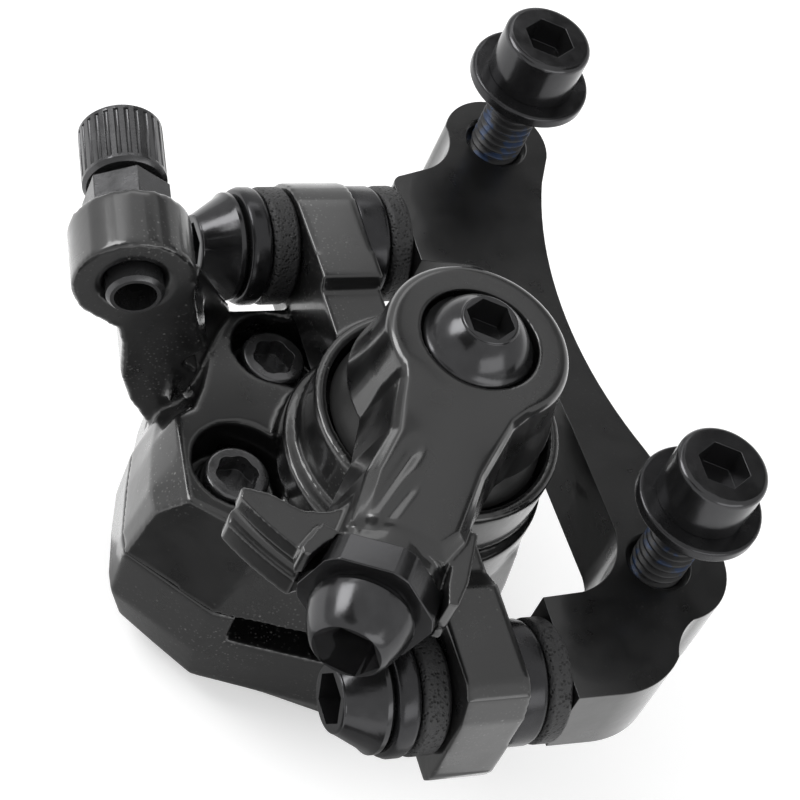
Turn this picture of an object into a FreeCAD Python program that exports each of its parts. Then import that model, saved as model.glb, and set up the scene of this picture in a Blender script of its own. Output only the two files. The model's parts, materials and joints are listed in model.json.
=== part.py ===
import FreeCAD, Part
import math
import os
import re
import Sketcher
from FreeCAD import Vector, Rotation, Placement

# Electric scooter disc brake caliper, cable pulled, on its fork adapter bracket.
# Frame: +Z points outboard along the lever pivot and the fork bolts, +Y runs from the lower fork
# bolt to the upper one, +X points at the wheel axle. The origin is midway between the two fork
# bolt holes, on the bracket's outboard face. Millimetres.

doc = FreeCAD.newDocument("brake_caliper")
sheet = doc.addObject("Spreadsheet::Sheet", "sizes")

DRIVING_SIZES = [
    ("fork_spacing", 58.0, "distance between the two fork bolt holes"),
    ("plate_thick", 9.5, "thickness of the adapter bracket"),
    ("post_face", 14.8, "from the fork bolt line to the faces that the caliper bolts to"),
    ("post_spacing", 57.4, "distance between the two caliper bolts"),
    ("caliper_drop", 10.4, "how far the caliper's middle lies below the fork bolts' middle"),
    ("post_depth", 5.0, "caliper bolt axis below the bracket's outboard face"),
    ("bolt_dia", 6.0, "thread diameter of the fork and caliper bolts"),
    ("tap_gap", 0.05, "radial gap of a bolt in its tapped hole"),
    ("mouth_dia", 7.4, "countersunk mouth of a fork bolt hole"),
    ("mouth_deep", 1.0, "depth of that mouth"),
    ("cap_head_dia", 10.0, "fork bolt head"),
    ("cap_head_tall", 6.0, "height of the fork bolt head"),
    ("hex_key", 5.0, "across flats of every hexagon socket"),
    ("hex_deep", 3.2, "depth of the sockets"),
    ("fork_bolt_long", 20.0, "fork bolt below its head"),
    ("fork_bolt_gap", 10.0, "thread showing between bracket and washer"),
    ("washer_dia", 13.7, "flat washer under a fork bolt"),
    ("washer_thick", 1.5, "thickness of that washer"),
    ("hole_gap", 0.25, "radial gap of a washer's hole round its bolt"),
    ("seat_washer_dia", 13.0, "ball seat washers on the caliper bolts"),
    ("outer_convex", 2.7, "rim thickness of the convex washer under a caliper bolt head"),
    ("outer_concave", 3.2, "thickness of the concave washer outside the ear"),
    ("inner_convex", 3.7, "rim thickness of the convex washer inside the ear"),
    ("inner_concave", 2.7, "thickness of the concave washer against the bracket"),
    ("seat_ball", 10.0, "radius of the ball seats"),
    ("seat_dia", 11.4, "rim diameter of the ball seats"),
    ("seat_gap", 0.05, "gap between a ball and its seat"),
    ("washer_room", 0.25, "clearance of the housing round the washers beside the upper ear"),
    ("slide_gap", 0.05, "gap between an ear and each washer beside it"),
    ("ear_thick", 7.0, "thickness of the caliper's ears along its bolts"),
    ("ear_slot_travel", 1.5, "sideways adjustment of the caliper each way"),
    ("ear_slot_gap", 0.3, "gap between a caliper bolt and its slot"),
    ("button_dia", 11.9, "rim of a button head"),
    ("button_rim", 1.5, "thickness of that rim"),
    ("button_soft", 0.5, "broken edges of that rim"),
    ("button_tall", 4.7, "height of the button head"),
    ("button_top", 7.2, "flat top of a caliper bolt's head"),
    ("washer_soft", 0.8, "broken edges of the convex washers"),
    ("post_bolt_long", 30.0, "caliper bolt below its head"),
    ("pivot_reach", 20.5, "lever pivot from the fork bolt line"),
    ("barrel_dia", 27.2, "outside of the actuator barrel"),
    ("barrel_top", 2.3, "top of the barrel's rim above the bracket face"),
    ("barrel_rim", 1.3, "thickness of the barrel's rim ring"),
    ("rim_deep", 3.8, "depth of the recess inside the rim ring"),
    ("roof_thick", 3.0, "wall between that recess and the piston bore"),
    ("plateau_deep", 8.0, "flat front of the housing below the bracket face"),
    ("chamfer_tall", 3.7, "height of the sloped edge round the housing front"),
    ("parting_deep", 18.0, "parting plane of the two housing halves"),
    ("back_deep", 33.5, "inboard face of the caliper"),
    ("back_round", 3.2, "depth of the rounded edge of the inboard face"),
    ("waist_deep", 7.5, "straight side of the inboard half below the parting plane"),
    ("rotor_slot", 4.4, "width of the slot that the brake disc runs in"),
    ("slot_inner", 8.5, "how far the slot reaches past the pivot, away from the axle"),
    ("window_wide", 14.0, "window at the slot's lower end, towards the axle"),
    ("window_long", 20.0, "length of that window"),
    ("window_left", 19.5, "far side of the window from the pivot"),
    ("window_low", 27.0, "lower end of the window from the pivot"),
    ("slot_round", 71.0, "radius of the slot's inner wall, a little more than the disc's"),
    ("piston_dia", 19.6, "pressure piston"),
    ("piston_gap", 0.06, "radial running gap of the piston"),
    ("piston_travel", 1.2, "stroke of the piston"),
    ("ball_dia", 3.6, "drive balls"),
    ("ball_circle", 6.4, "radius of the circle that the balls lie on"),
    ("ball_count", 3, "number of drive balls"),
    ("ramp_angle", 40.0, "turn of the lever from rest to full stroke"),
    ("spindle_dia", 9.0, "drive spindle in its bush"),
    ("bush_wall", 1.2, "wall of the spindle bush"),
    ("run_gap", 0.05, "radial running gap of the spindle"),
    ("cam_thick", 2.8, "thickness of the spindle's cam plate"),
    ("cam_dia", 18.6, "cam plate on the spindle"),
    ("thrust_thick", 0.8, "thrust washer above the cam plate"),
    ("pad_long", 22.0, "brake pad along the disc's path"),
    ("pad_wide", 16.0, "brake pad towards the axle"),
    ("plate_back", 1.9, "steel back plate of a pad"),
    ("lining_thick", 2.1, "friction lining of a pad"),
    ("lining_rest", 0.9, "outboard lining's reach into the slot at rest"),
    ("lining_fixed", 1.0, "inboard lining's reach into the slot at rest"),
    ("pad_gap", 0.35, "gap round a pad in its pocket"),
    ("spring_sheet", 0.35, "sheet thickness of the pad spring"),
    ("spring_leaf_long", 10.8, "length of the pad spring along the slot"),
    ("lever_top", 15.3, "flat top of the lever above the bracket face"),
    ("lever_bottom", 5.3, "underside of the lever"),
    ("lever_bolt_top", 6.2, "flat top of the lever bolt's head"),
    ("lever_bolt_key", 4.6, "across flats of the lever bolt's socket"),
    ("lever_bolt_crown", 6.5, "radius of the flank of the lever bolt's head"),
    ("lever_bolt_long", 12.0, "lever bolt below its head"),
    ("spindle_square", 6.4, "square end of the spindle, across its flats"),
    ("pilot_dia", 6.0, "pilot of the spindle in the piston"),
    ("pilot_long", 2.4, "length of that pilot"),
    ("hub_top_dia", 17.6, "lever hub at its top"),
    ("hub_low_dia", 22.6, "lever hub at its underside"),
    ("recess_dia", 12.7, "recess for the lever bolt head"),
    ("recess_deep", 1.6, "depth of that recess"),
    ("cable_plane", 8.5, "height of the cable's path"),
    ("clamp_angle", 235.2, "direction of the lever arm at rest, degrees"),
    ("clamp_step", 3.8, "clamp seat inside the outside of the cable guide"),
    ("seat_round", 12.8, "round seat of the cable clamp"),
    ("clamp_plate", 3.4, "thickness of the six-sided clamp plate"),
    ("clamp_gap", 0.15, "gap between the clamp plate's sides and the lever"),
    ("bead_high", 13.0, "top of the curled bead beside the clamp seat"),
    ("clamp_flats", 12.8, "clamp plate across its flats"),
    ("clamp_corners", 13.8, "clamp plate across its turned corners"),
    ("dome_dia", 10.8, "clamp bolt head near its plate"),
    ("dome_top", 7.8, "clamp bolt head at its end"),
    ("dome_crown", 11.0, "radius of the clamp bolt head's flank"),
    ("dome_key", 6.0, "across flats of the clamp bolt's socket"),
    ("dome_tall", 5.6, "height of the clamp bolt head"),
    ("clamp_bolt_dia", 5.0, "thread of the clamp bolt"),
    ("clamp_bolt_long", 12.0, "clamp bolt below its head"),
    ("guide_radius", 33.0, "outside of the lever's cable guide from the pivot"),
    ("guide_low", 4.6, "underside of the cable guide"),
    ("guide_high", 11.8, "top of the cable guide"),
    ("guide_start", 207.5, "direction of the guide's tip, degrees"),
    ("groove_dia", 2.4, "cable groove in the guide"),
    ("adjuster_across", 52.7, "cable adjuster from the fork bolt line"),
    ("arm_foot", 45.3, "lowest point of the adjuster's arm from the fork bolt line"),
    ("adjuster_up", 2.8, "lower end of the adjuster boss above the bracket's middle"),
    ("adjuster_lean", 9.3, "lean of the adjuster axis towards the axle, degrees"),
    ("boss_dia", 12.8, "cable adjuster boss"),
    ("boss_long", 7.4, "length of that boss"),
    ("adjuster_dia", 6.0, "thread of the cable adjuster"),
    ("adjuster_bore", 4.4, "hollow of the adjuster tube"),
    ("adjuster_out", 1.6, "adjuster tube showing below the boss"),
    ("nut_flats", 8.2, "adjuster nut across its flats"),
    ("nut_tall", 4.6, "height of the adjuster nut"),
    ("knob_dia", 8.9, "knurled cap of the adjuster"),
    ("knob_long", 7.8, "length of that cap"),
    ("knob_gap", 1.0, "gap between nut and cap"),
    ("knurl_count", 26, "grooves round the cap"),
    ("housing_seat", 5.2, "seat for the cable housing in the cap"),
    ("housing_deep", 5.0, "depth of that seat"),
    ("screw_head_dia", 8.4, "flange of a body screw"),
    ("screw_top_dia", 7.2, "body screw head above its flange"),
    ("screw_flange", 1.4, "thickness of that flange"),
    ("lobe_pitch", 2.3, "radius where the six lobes of a body screw's socket meet its hollows"),
    ("lobe_round", 1.1, "radius of a lobe"),
    ("hollow_round", 2.5, "radius of a hollow between lobes"),
    ("screw_head_tall", 4.0, "height of the body screw head"),
    ("screw_dia", 4.0, "body screw thread"),
    ("screw_long", 14.0, "body screw below its head"),
    ("screw_sunk", 1.8, "body screw head below the housing front"),
    ("counterbore_dia", 10.8, "pocket round the lower body screw head"),
    ("counterbore_narrow", 9.2, "width of the longer pocket round the upper one"),
    ("counterbore_reach", 1.1, "half the straight side of that pocket"),
    ("set_screw_dia", 12.0, "inboard pad adjusting screw"),
    ("set_screw_long", 7.4, "length of the adjusting screw"),
    ("coil_wire", 1.2, "wire of the return spring"),
    ("coil_room", 3.7, "from the wall of the spring's recess to the middle of its wire"),
    ("coil_pitch", 1.8, "rise of the return spring in one turn"),
    ("coil_turns", 2, "turns of the return spring"),
    ("cover_wall", 0.8, "wall of the dust cover"),
    ("cover_gap", 0.6, "running gap of the dust cover inside the barrel's rim"),
    ("cover_slope", 2.5, "how far the dust cover draws in from its skirt to its top"),
]

for row, (alias, value, note) in enumerate(DRIVING_SIZES, start=1):
    sheet.set("A%d" % row, note)
    sheet.set("B%d" % row, str(value))
    sheet.setAlias("B%d" % row, alias)
doc.recompute()

ALIASES = {alias for alias, value, note in DRIVING_SIZES}
WORD = re.compile(r"[a-z][a-z_]*[a-z]")


def bound(text):
    """The expression with each size's name pointed at its cell."""
    return WORD.sub(lambda found: ("sizes." if found.group() in ALIASES else "") + found.group(), text)


def size(text):
    """The present value of an expression of the sheet's sizes."""
    return float(sheet.evalExpression(bound(text)))


NUMBER = re.compile(r"^[-+0-9.()*/ ]+$")
SUB_PARTS = []


def bind(item, path, text):
    """Bind a property or a constraint of an object to an expression of the sheet."""
    item.setExpression(path, bound(text))


def place(item, at=("0", "0", "0"), turn=None):
    """Put an object where expressions say, after a turn."""
    if turn is not None:
        item.Placement = Placement(Vector(0, 0, 0), turn)
    for axis, text in zip("xyz", at):
        bind(item, "Placement.Base." + axis, text)
    return item


def arc_middle(start, end, radius):
    """Centre of the arc of a radius between two points, to the left of the way for a positive one."""
    half = (end - start) * 0.5
    reach = math.sqrt(max(radius * radius - half.Length ** 2, 0.0))
    aside = Vector(-half.y, half.x, 0).normalize()
    return start + half + aside * math.copysign(reach, radius)


def draw(drawing, rows):
    """Draw a closed outline. A row is x, y and, for an arc that arrives there, its radius,
    which is positive where the outline turns left."""
    points = [Vector(size(row[0]), size(row[1]), 0) for row in rows]
    ends = []
    for index, row in enumerate(rows):
        start = points[index - 1]
        end = points[index]
        if len(row) == 2:
            drawing.addGeometry(Part.LineSegment(start, end), False)
            ends.append((1, 2))
            continue
        radius = size(row[2])
        middle = arc_middle(start, end, radius)
        first, last = (start, end) if radius > 0 else (end, start)
        angles = [math.atan2(point.y - middle.y, point.x - middle.x) for point in (first, last)]
        circle = Part.Circle(middle, Vector(0, 0, 1), abs(radius))
        drawing.addGeometry(Part.ArcOfCircle(circle, angles[0], angles[1]), False)
        ends.append((1, 2) if radius > 0 else (2, 1))
    for index, row in enumerate(rows):
        after = (index + 1) % len(rows)
        drawing.addConstraint(Sketcher.Constraint("Coincident", index, ends[index][1], after, ends[after][0]))
        for kind, text in (("DistanceX", row[0]), ("DistanceY", row[1])):
            number = drawing.addConstraint(Sketcher.Constraint(kind, index, ends[index][1], size(text)))
            if not NUMBER.match(text):
                bind(drawing, "Constraints[%d]" % number, text)
        if len(row) == 3:
            number = drawing.addConstraint(Sketcher.Constraint("Radius", index, abs(size(row[2]))))
            if not NUMBER.match(row[2]):
                bind(drawing, "Constraints[%d]" % number, row[2].lstrip("-"))
    return drawing


def outline(name, rows, lift="0", turn=None):
    """A sketch that stands by itself, lifted along Z."""
    drawing = draw(doc.addObject("Sketcher::SketchObject", name), rows)
    return place(drawing, ("0", "0", lift), turn)


def prism(name, rows, low, high):
    """An outline carried up from one level to another."""
    drawing = outline(name + "_outline", rows, low)
    solid = doc.addObject("Part::Extrusion", name)
    solid.Base = drawing
    solid.DirMode = "Custom"
    solid.Dir = Vector(0, 0, 1)
    solid.Solid = True
    bind(solid, "LengthFwd", "%s - (%s)" % (high, low))
    return solid


def slab(name, rows, depth, at, turn):
    """An outline carried along its own normal, placed and turned as a whole."""
    solid = prism(name, rows, "0", depth)
    return place(solid, at, turn)


def loft(name, levels):
    """Flat facets between outlines of as many corners, each with its level."""
    sections = [outline("%s_section_%d" % (name, step), rows, level)
                for step, (level, rows) in enumerate(levels)]
    solid = doc.addObject("Part::Loft", name)
    solid.Sections = sections
    solid.Solid = True
    solid.Ruled = True
    return solid


def turned(name, rows):
    """A turned body: rows are radius and height, and a radius for an arc."""
    owner = doc.addObject("PartDesign::Body", name)
    drawing = owner.newObject("Sketcher::SketchObject", name + "_section")
    drawing.AttachmentSupport = [(origin_plane(owner, "XZ_Plane"), "")]
    drawing.MapMode = "FlatFace"
    draw(drawing, rows)
    revolution = owner.newObject("PartDesign::Revolution", name + "_turned")
    revolution.Profile = drawing
    revolution.ReferenceAxis = (drawing, ["V_Axis"])
    revolution.Angle = 360
    return owner


def origin_plane(owner, role):
    """One of a body's own origin planes."""
    return next(feature for feature in owner.Origin.OriginFeatures if feature.Role == role)


def hexagon(flats):
    """Outline of a hexagon with two sides parallel to Y."""
    half = "(%s) / 2" % flats
    corner = "(%s) / sqrt(3)" % flats
    side = "(%s) / (2 * sqrt(3))" % flats
    return [(half, side), ("0", corner), ("-" + half, side),
            ("-" + half, "-" + side), ("0", "-" + corner), (half, "-" + side)]


def round_ended(across, low, high, half):
    """Outline of a slot along the second axis, with round ends about two levels."""
    left = "%s - %s" % (across, half)
    right = "%s + %s" % (across, half)
    return [(right, low, half), (right, high), (across, "%s + %s" % (high, half), half),
            (left, high, half), (left, low), (across, "%s - %s" % (low, half), half)]


def six_lobes():
    """Outline of a six-lobe socket, whose arcs bend outwards and inwards in turn."""
    rows = []
    for number in range(6):
        for turn, bend in ((-15, "-hollow_round"), (15, "lobe_round")):
            angle = 60 * number + turn
            rows.append(("lobe_pitch * cos(%d)" % angle, "lobe_pitch * sin(%d)" % angle, bend))
    return rows


def socket(owner, start, depth, rows):
    """Sink a socket of an outline upwards into a turned head that begins at a level."""
    drawing = owner.newObject("Sketcher::SketchObject", owner.Name + "_key")
    drawing.AttachmentSupport = [(origin_plane(owner, "XY_Plane"), "")]
    drawing.MapMode = "FlatFace"
    bind(drawing, "AttachmentOffset.Base.z", start)
    draw(drawing, rows)
    pocket = owner.newObject("PartDesign::Pocket", owner.Name + "_socket")
    pocket.Profile = drawing
    pocket.Reversed = True
    bind(pocket, "Length", depth)
    return owner


def cylinder(name, radius, height, at=("0", "0", "0"), turn=None):
    """A round bar or, as a tool, a hole."""
    solid = doc.addObject("Part::Cylinder", name)
    bind(solid, "Radius", radius)
    bind(solid, "Height", height)
    return place(solid, at, turn)


def cone(name, low_radius, high_radius, height, at=("0", "0", "0"), turn=None):
    """A countersink or a chamfer ring."""
    solid = doc.addObject("Part::Cone", name)
    bind(solid, "Radius1", low_radius)
    bind(solid, "Radius2", high_radius)
    bind(solid, "Height", height)
    return place(solid, at, turn)


def box(name, long, wide, tall, at, turn=None):
    """A rectangular block from its low corner."""
    solid = doc.addObject("Part::Box", name)
    bind(solid, "Length", long)
    bind(solid, "Width", wide)
    bind(solid, "Height", tall)
    return place(solid, at, turn)


def fuse(name, pieces):
    """One solid of several."""
    joined = doc.addObject("Part::MultiFuse", name)
    joined.Shapes = pieces
    joined.Refine = True
    return joined


def cut(name, base, tools):
    """A solid less its tools, one after another in one joined tool."""
    tool = tools[0]
    if len(tools) > 1:
        tool = doc.addObject("Part::Compound", name + "_tools")
        tool.Links = tools
    left = doc.addObject("Part::Cut", name)
    left.Base = base
    left.Tool = tool
    return left


def common(name, base, tool):
    """What two solids share."""
    shared = doc.addObject("Part::Common", name)
    shared.Base = base
    shared.Tool = tool
    return shared


def rounded(name, base, radius, wanted):
    """Round the edges of a solid for which a test holds."""
    doc.recompute()
    solid = doc.addObject("Part::Fillet", name)
    solid.Base = base
    amount = size(radius)
    solid.Edges = [(number, amount, amount) for number, edge in enumerate(base.Shape.Edges, start=1)
                   if wanted(edge)]
    return solid


def group(name, pieces):
    """Identical fasteners in one node, each its own solid."""
    joined = doc.addObject("Part::Compound", name)
    joined.Links = pieces
    return joined


def sub_part(label, item):
    """Register a finished sub-part under the name of its node."""
    item.Label = label
    SUB_PARTS.append(item)
    return item


TO_AXLE = Rotation(Vector(0, 1, 0), 90)
SIDEWAYS = Rotation(Vector(1, 1, 1), 120)
DOWN = Rotation(Vector(1, 0, 0), 180)

# Places along the axes, from the driving sizes.
PIVOT_X = "-pivot_reach"
PIVOT_Y = "-caliper_drop"
UPPER_POST = "(post_spacing / 2 - caliper_drop)"
LOWER_POST = "(-post_spacing / 2 - caliper_drop)"
SEAT_FACE = "(post_face + inner_concave)"
EAR_INNER = "(post_face + inner_concave + inner_convex + slide_gap)"
EAR_OUTER = "(post_face + inner_concave + inner_convex + slide_gap + ear_thick)"
OUTER_SEAT = "(post_face + inner_concave + inner_convex + 2 * slide_gap + ear_thick)"
HEAD_SEAT = ("(post_face + inner_concave + inner_convex + 2 * slide_gap + ear_thick"
             " + outer_concave + outer_convex)")
ROOT = "(bolt_dia / 2 - 0.55)"
TAPPED = "(bolt_dia / 2 - 0.55 + tap_gap)"
WASHER_HOLE = "(bolt_dia / 2 + hole_gap)"


# The adapter bracket: a thick plate with a boss for each fork bolt and a face for each caliper bolt.
FORK_UP = "(fork_spacing / 2)"
FORK_LOW = "(-fork_spacing / 2)"
BRACKET_OUTLINE = [
    ("-post_face", LOWER_POST + " - 5.3"),
    ("-post_face + 5", LOWER_POST + " - 5.3"),
    ("-1.8", LOWER_POST + " - 1.5", "10.3"),
    ("1.5", FORK_LOW + " - 7.4", "-6.9"),
    ("7.5", FORK_LOW + " + 2", "7.4"),
    ("3.6", "-14.7"),
    ("3.9", FORK_UP + " - 6.2", "-52"),
    ("5.8", FORK_UP + " - 2.4"),
    ("0", FORK_UP + " + 6.2", "6.3"),
    ("-5.7", FORK_UP + " + 2.4", "6.3"),
    ("-10.2", FORK_UP + " - 4", "-6"),
    ("-post_face + 1.3", FORK_UP + " - 4.9"),
    ("-post_face", FORK_UP + " - 6.3", "1.5"),
    ("-post_face", UPPER_POST + " - 6.4"),
    ("-post_face + 5", UPPER_POST + " - 7.2"),
    ("-5.4", UPPER_POST + " - 13", "-5"),
    ("-4.2", "-11"),
    ("-3.7", FORK_LOW + " + 4.4"),
    ("-post_face + 4.7", FORK_LOW + " - 3", "-8"),
    ("-post_face", LOWER_POST + " + 6.8"),
]


def make_bracket():
    plate = prism("bracket_plate", BRACKET_OUTLINE, "-plate_thick", "0")
    tools = []
    for word, middle in (("upper", FORK_UP), ("lower", FORK_LOW)):
        tools.append(cylinder(word + "_fork_hole", TAPPED, "plate_thick + 2",
                              ("0", middle, "-plate_thick - 1")))
        tools.append(cone(word + "_fork_mouth", "mouth_dia / 2 - mouth_deep", "mouth_dia / 2", "mouth_deep",
                          ("0", middle, "-mouth_deep")))
    for word, middle in (("upper", UPPER_POST), ("lower", LOWER_POST)):
        tools.append(cylinder(word + "_post_hole", TAPPED, "post_bolt_long - %s + post_face + 1.6" % HEAD_SEAT,
                              ("-post_face - 1", middle, "-post_depth"), TO_AXLE))
        tools.append(cone(word + "_post_mouth", "bolt_dia / 2 + 0.3", "bolt_dia / 2 - 0.6", "0.9",
                          ("-post_face", middle, "-post_depth"), TO_AXLE))
    return sub_part("adapter_bracket", cut("adapter_bracket", plate, tools))


# Fork bolts: cap screws, partly screwed in, each with a flat washer under its head.
def make_fork_bolts():
    bolts = []
    washers = []
    grip = "(fork_bolt_gap + washer_thick)"
    for word, middle in (("upper", FORK_UP), ("lower", FORK_LOW)):
        bolt = turned(word + "_fork_bolt", [
            ("0", "-cap_head_tall"), ("cap_head_dia / 2 - 0.7", "-cap_head_tall"),
            ("cap_head_dia / 2", "-cap_head_tall + 0.7", "0.7"), ("cap_head_dia / 2", "0"),
            ("bolt_dia / 2 - 0.3", "0"), ("bolt_dia / 2 - 0.3", "washer_thick"),
            ("bolt_dia / 2", "washer_thick"), ("bolt_dia / 2", grip), (ROOT, grip),
            (ROOT, "fork_bolt_long - 0.6"), (ROOT + " - 0.6", "fork_bolt_long"), ("0", "fork_bolt_long")])
        socket(bolt, "-cap_head_tall", "hex_deep", hexagon("hex_key"))
        bolts.append(place(bolt, ("0", middle, grip), DOWN))
        washer = turned(word + "_fork_washer", [
            (WASHER_HOLE, "0"), ("washer_dia / 2 - 0.4", "0"), ("washer_dia / 2", "0.4", "0.4"),
            ("washer_dia / 2", "washer_thick - 0.4"), ("washer_dia / 2 - 0.4", "washer_thick", "0.4"),
            (WASHER_HOLE, "washer_thick")])
        washers.append(place(washer, ("0", middle, "fork_bolt_gap")))
    sub_part("fork_bolts", group("fork_bolts", bolts))
    sub_part("fork_bolt_washers", group("fork_bolt_washers", washers))


# Ball seat washers: a convex and a concave one on each side of an ear let the caliper tilt.
SEAT_RIM = "(seat_ball - sqrt(seat_ball ^ 2 - (seat_dia / 2) ^ 2))"
SEAT_HOLE = "(seat_ball - sqrt(seat_ball ^ 2 - %s ^ 2))" % WASHER_HOLE
DOME = "(%s - %s)" % (SEAT_RIM, SEAT_HOLE)


def convex_washer(name, thick):
    flat = "seat_washer_dia / 2 - washer_soft"
    knee = "seat_washer_dia / 2 - 0.3 * washer_soft"
    return turned(name, [
        (WASHER_HOLE, "0"), (flat, "0"), (knee, "0.3 * washer_soft"), ("seat_washer_dia / 2", "washer_soft"),
        ("seat_washer_dia / 2", thick + " - washer_soft"), (knee, thick + " - 0.3 * washer_soft"), (flat, thick),
        ("seat_dia / 2 - washer_soft", thick), (WASHER_HOLE, "%s + %s" % (thick, DOME), "seat_ball")])


def concave_washer(name, thick):
    return turned(name, [
        ("seat_dia / 2", "seat_gap", "-seat_ball"), ("seat_washer_dia / 2 - 0.4", "seat_gap"),
        ("seat_washer_dia / 2", "0.4 + seat_gap"), ("seat_washer_dia / 2", thick + " - 0.5"),
        ("seat_washer_dia / 2 - 0.5", thick), (WASHER_HOLE, thick), (WASHER_HOLE, "seat_gap + " + DOME)])


def put_on_posts(node, make, at):
    """One piece on each caliper bolt, seated at a distance from the fork bolt line."""
    pieces = []
    for word, middle in (("upper", UPPER_POST), ("lower", LOWER_POST)):
        pieces.append(place(make(word + "_" + node), ("-" + at, middle, "-post_depth"), TO_AXLE))
    sub_part(node, group(node, pieces))


def button_bolt(name, reach, long, top, key, crown):
    """Button head screw: full thread diameter over its reach, then its root in the tapped hole.
    Its flank is a cone, or round where a crown is given."""
    rim = "button_dia / 2 - button_soft"
    bolt = turned(name, [
        ("0", "-button_tall"), (top + " / 2 - 0.3", "-button_tall"),
        (top + " / 2", "-button_tall + 0.3", "0.3"), (rim, "-button_rim") + crown,
        ("button_dia / 2", "-button_rim + button_soft"), ("button_dia / 2", "-button_soft"), (rim, "0"),
        ("bolt_dia / 2", "0"), ("bolt_dia / 2", reach), (ROOT, reach),
        (ROOT, long + " - 0.6"), (ROOT + " - 0.6", long), ("0", long)])
    return socket(bolt, "-button_tall", "hex_deep", hexagon(key))


def make_post_stacks():
    put_on_posts("post_bolts", lambda name: button_bolt(name, HEAD_SEAT + " - post_face", "post_bolt_long",
                                                        "button_top", "hex_key", ()), HEAD_SEAT)
    put_on_posts("outer_convex_washers", lambda name: convex_washer(name, "outer_convex"), HEAD_SEAT)
    put_on_posts("outer_concave_washers", lambda name: concave_washer(name, "outer_concave"),
                 "(%s + outer_concave)" % OUTER_SEAT)
    put_on_posts("inner_convex_washers", lambda name: convex_washer(name, "inner_convex"),
                 "(%s + inner_convex)" % SEAT_FACE)
    put_on_posts("inner_concave_washers", lambda name: concave_washer(name, "inner_concave"), SEAT_FACE)


# The caliper. Its pieces are drawn about the lever pivot, and then put where the pivot is.
PIVOT = (PIVOT_X, PIVOT_Y, "0")
PARTING = "-parting_deep"
SHOULDER = "(-plateau_deep - chamfer_tall)"
SLOT_LOW = "(-parting_deep - rotor_slot)"
RECESS_FLOOR = "(barrel_top - rim_deep)"
BORE_TOP = "(barrel_top - rim_deep - roof_thick)"
BUSH_OUT = "(spindle_dia / 2 + run_gap + bush_wall)"
BORE = "(piston_dia / 2 + piston_gap)"
PAD_TOP = "(-parting_deep - lining_rest + lining_thick + plate_back)"
POCKET_TOP = PAD_TOP + " + 0.3"
FIXED_LINING = "(%s + lining_fixed)" % SLOT_LOW
FIXED_BACK = "(%s + lining_fixed - lining_thick - plate_back)" % SLOT_LOW
POCKET_FLOOR = FIXED_BACK + " - 0.35"
PAD_INNER = "(-slot_inner + 1.1)"

FRONT_OUTLINE = [
    (-25.6, -2.4), (-22.3, -4.7), (-18.3, -8.4), (-7.0, -13.8), (0.5, -15.2), (9.3, -11.6),
    (13.6, -4.6), (13.6, 4.6), (9.6, 11.4), (1.5, 18.8), (-7.7, 22.4), (-14.1, 24.0),
    (-18.1, 17.2), (-20.5, 12.0), (-22.1, 9.4), (-24.3, 8.8), (-25.2, 0.9)]
SHOULDER_OUTLINE = [
    (-28.2, -1.1), (-23.7, -5.2), (-19.8, -9.0), (-6.8, -14.5), (0.5, -15.8), (9.6, -12.0),
    (13.6, -4.6), (13.6, 4.6), (9.8, 11.6), (1.5, 19.0), (-7.6, 22.7), (-15.9, 25.0),
    (-20.3, 18.6), (-22.5, 14.2), (-24.8, 11.0), (-26.4, 7.2), (-28.0, 1.7)]
PARTING_OUTLINE = [
    (-30.0, -1.8), (-26.0, -6.05), (-22.3, -10.0), (-6.5, -15.6), (0.5, -16.8), (10.0, -12.6),
    (13.6, -4.6), (13.6, 4.6), (10.0, 12.0), (1.5, 19.4), (-7.5, 23.2), (-17.1, 25.8),
    (-21.8, 18.6), (-23.8, 14.0), (-26.2, 10.7), (-27.9, 6.2), (-29.7, 0.5)]
WAIST_OUTLINE = [
    (-29.6, -1.8), (-25.8, -6.05), (-22.2, -10.0), (-6.5, -15.8), (0.5, -17.0), (10.0, -12.6),
    (13.6, -4.6), (13.6, 4.6), (10.0, 12.0), (1.5, 19.4), (-7.5, 23.2), (-16.9, 25.6),
    (-21.6, 18.6), (-23.6, 14.0), (-26.0, 10.7), (-27.6, 6.2), (-29.3, 0.5)]
ROUND_OUTLINE = [
    (-27.4, -1.8), (-24.4, -6.0), (-21.4, -10.0), (-6.5, -15.8), (0.5, -17.0), (9.9, -12.4),
    (13.2, -4.5), (13.2, 4.5), (9.8, 11.6), (1.3, 18.8), (-7.3, 22.5), (-15.9, 24.4),
    (-20.4, 17.6), (-22.2, 13.4), (-24.4, 10.2), (-25.8, 5.8), (-27.2, 0.5)]
BACK_OUTLINE = [
    (-20.6, -1.4), (-18.8, -5.0), (-16.6, -8.8), (-5.8, -14.8), (0.5, -16.0), (9.0, -11.6),
    (12.0, -4.2), (12.0, 4.2), (9.0, 10.6), (1.0, 16.4), (-5.9, 18.6), (-12.4, 19.6),
    (-15.8, 14.6), (-17.2, 11.2), (-18.8, 8.2), (-19.8, 4.6), (-20.6, 0.4)]


def corners(points):
    """Points as rows of an outline."""
    return [(str(across), str(along)) for across, along in points]


def pad_outline(inset):
    """A brake pad with rounded corners, inside its back plate's outline by an inset."""
    left = "(%s + %s)" % (PAD_INNER, inset)
    right = "(%s + pad_wide - %s)" % (PAD_INNER, inset)
    top = "(pad_long / 2 - %s)" % inset
    return [(left + " + 3", "-" + top, "3"), (right + " - 3", "-" + top), (right, "-" + top + " + 3", "3"),
            (right, top + " - 3"), (right + " - 3", top, "3"), (left + " + 3", top),
            (left, top + " - 3", "3"), (left, "-" + top + " + 3")]


UPPER_SCREW = ("-10.3", "17.0")
LOWER_SCREW = ("-18.6", "1.9")
UPPER_POCKET = ("-9.9", "16.6")
POCKET_TURN = 71


def body_screw_places():
    """The two screws that hold the housing halves together, from the pivot."""
    return (("upper",) + UPPER_SCREW, ("lower",) + LOWER_SCREW)


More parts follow.
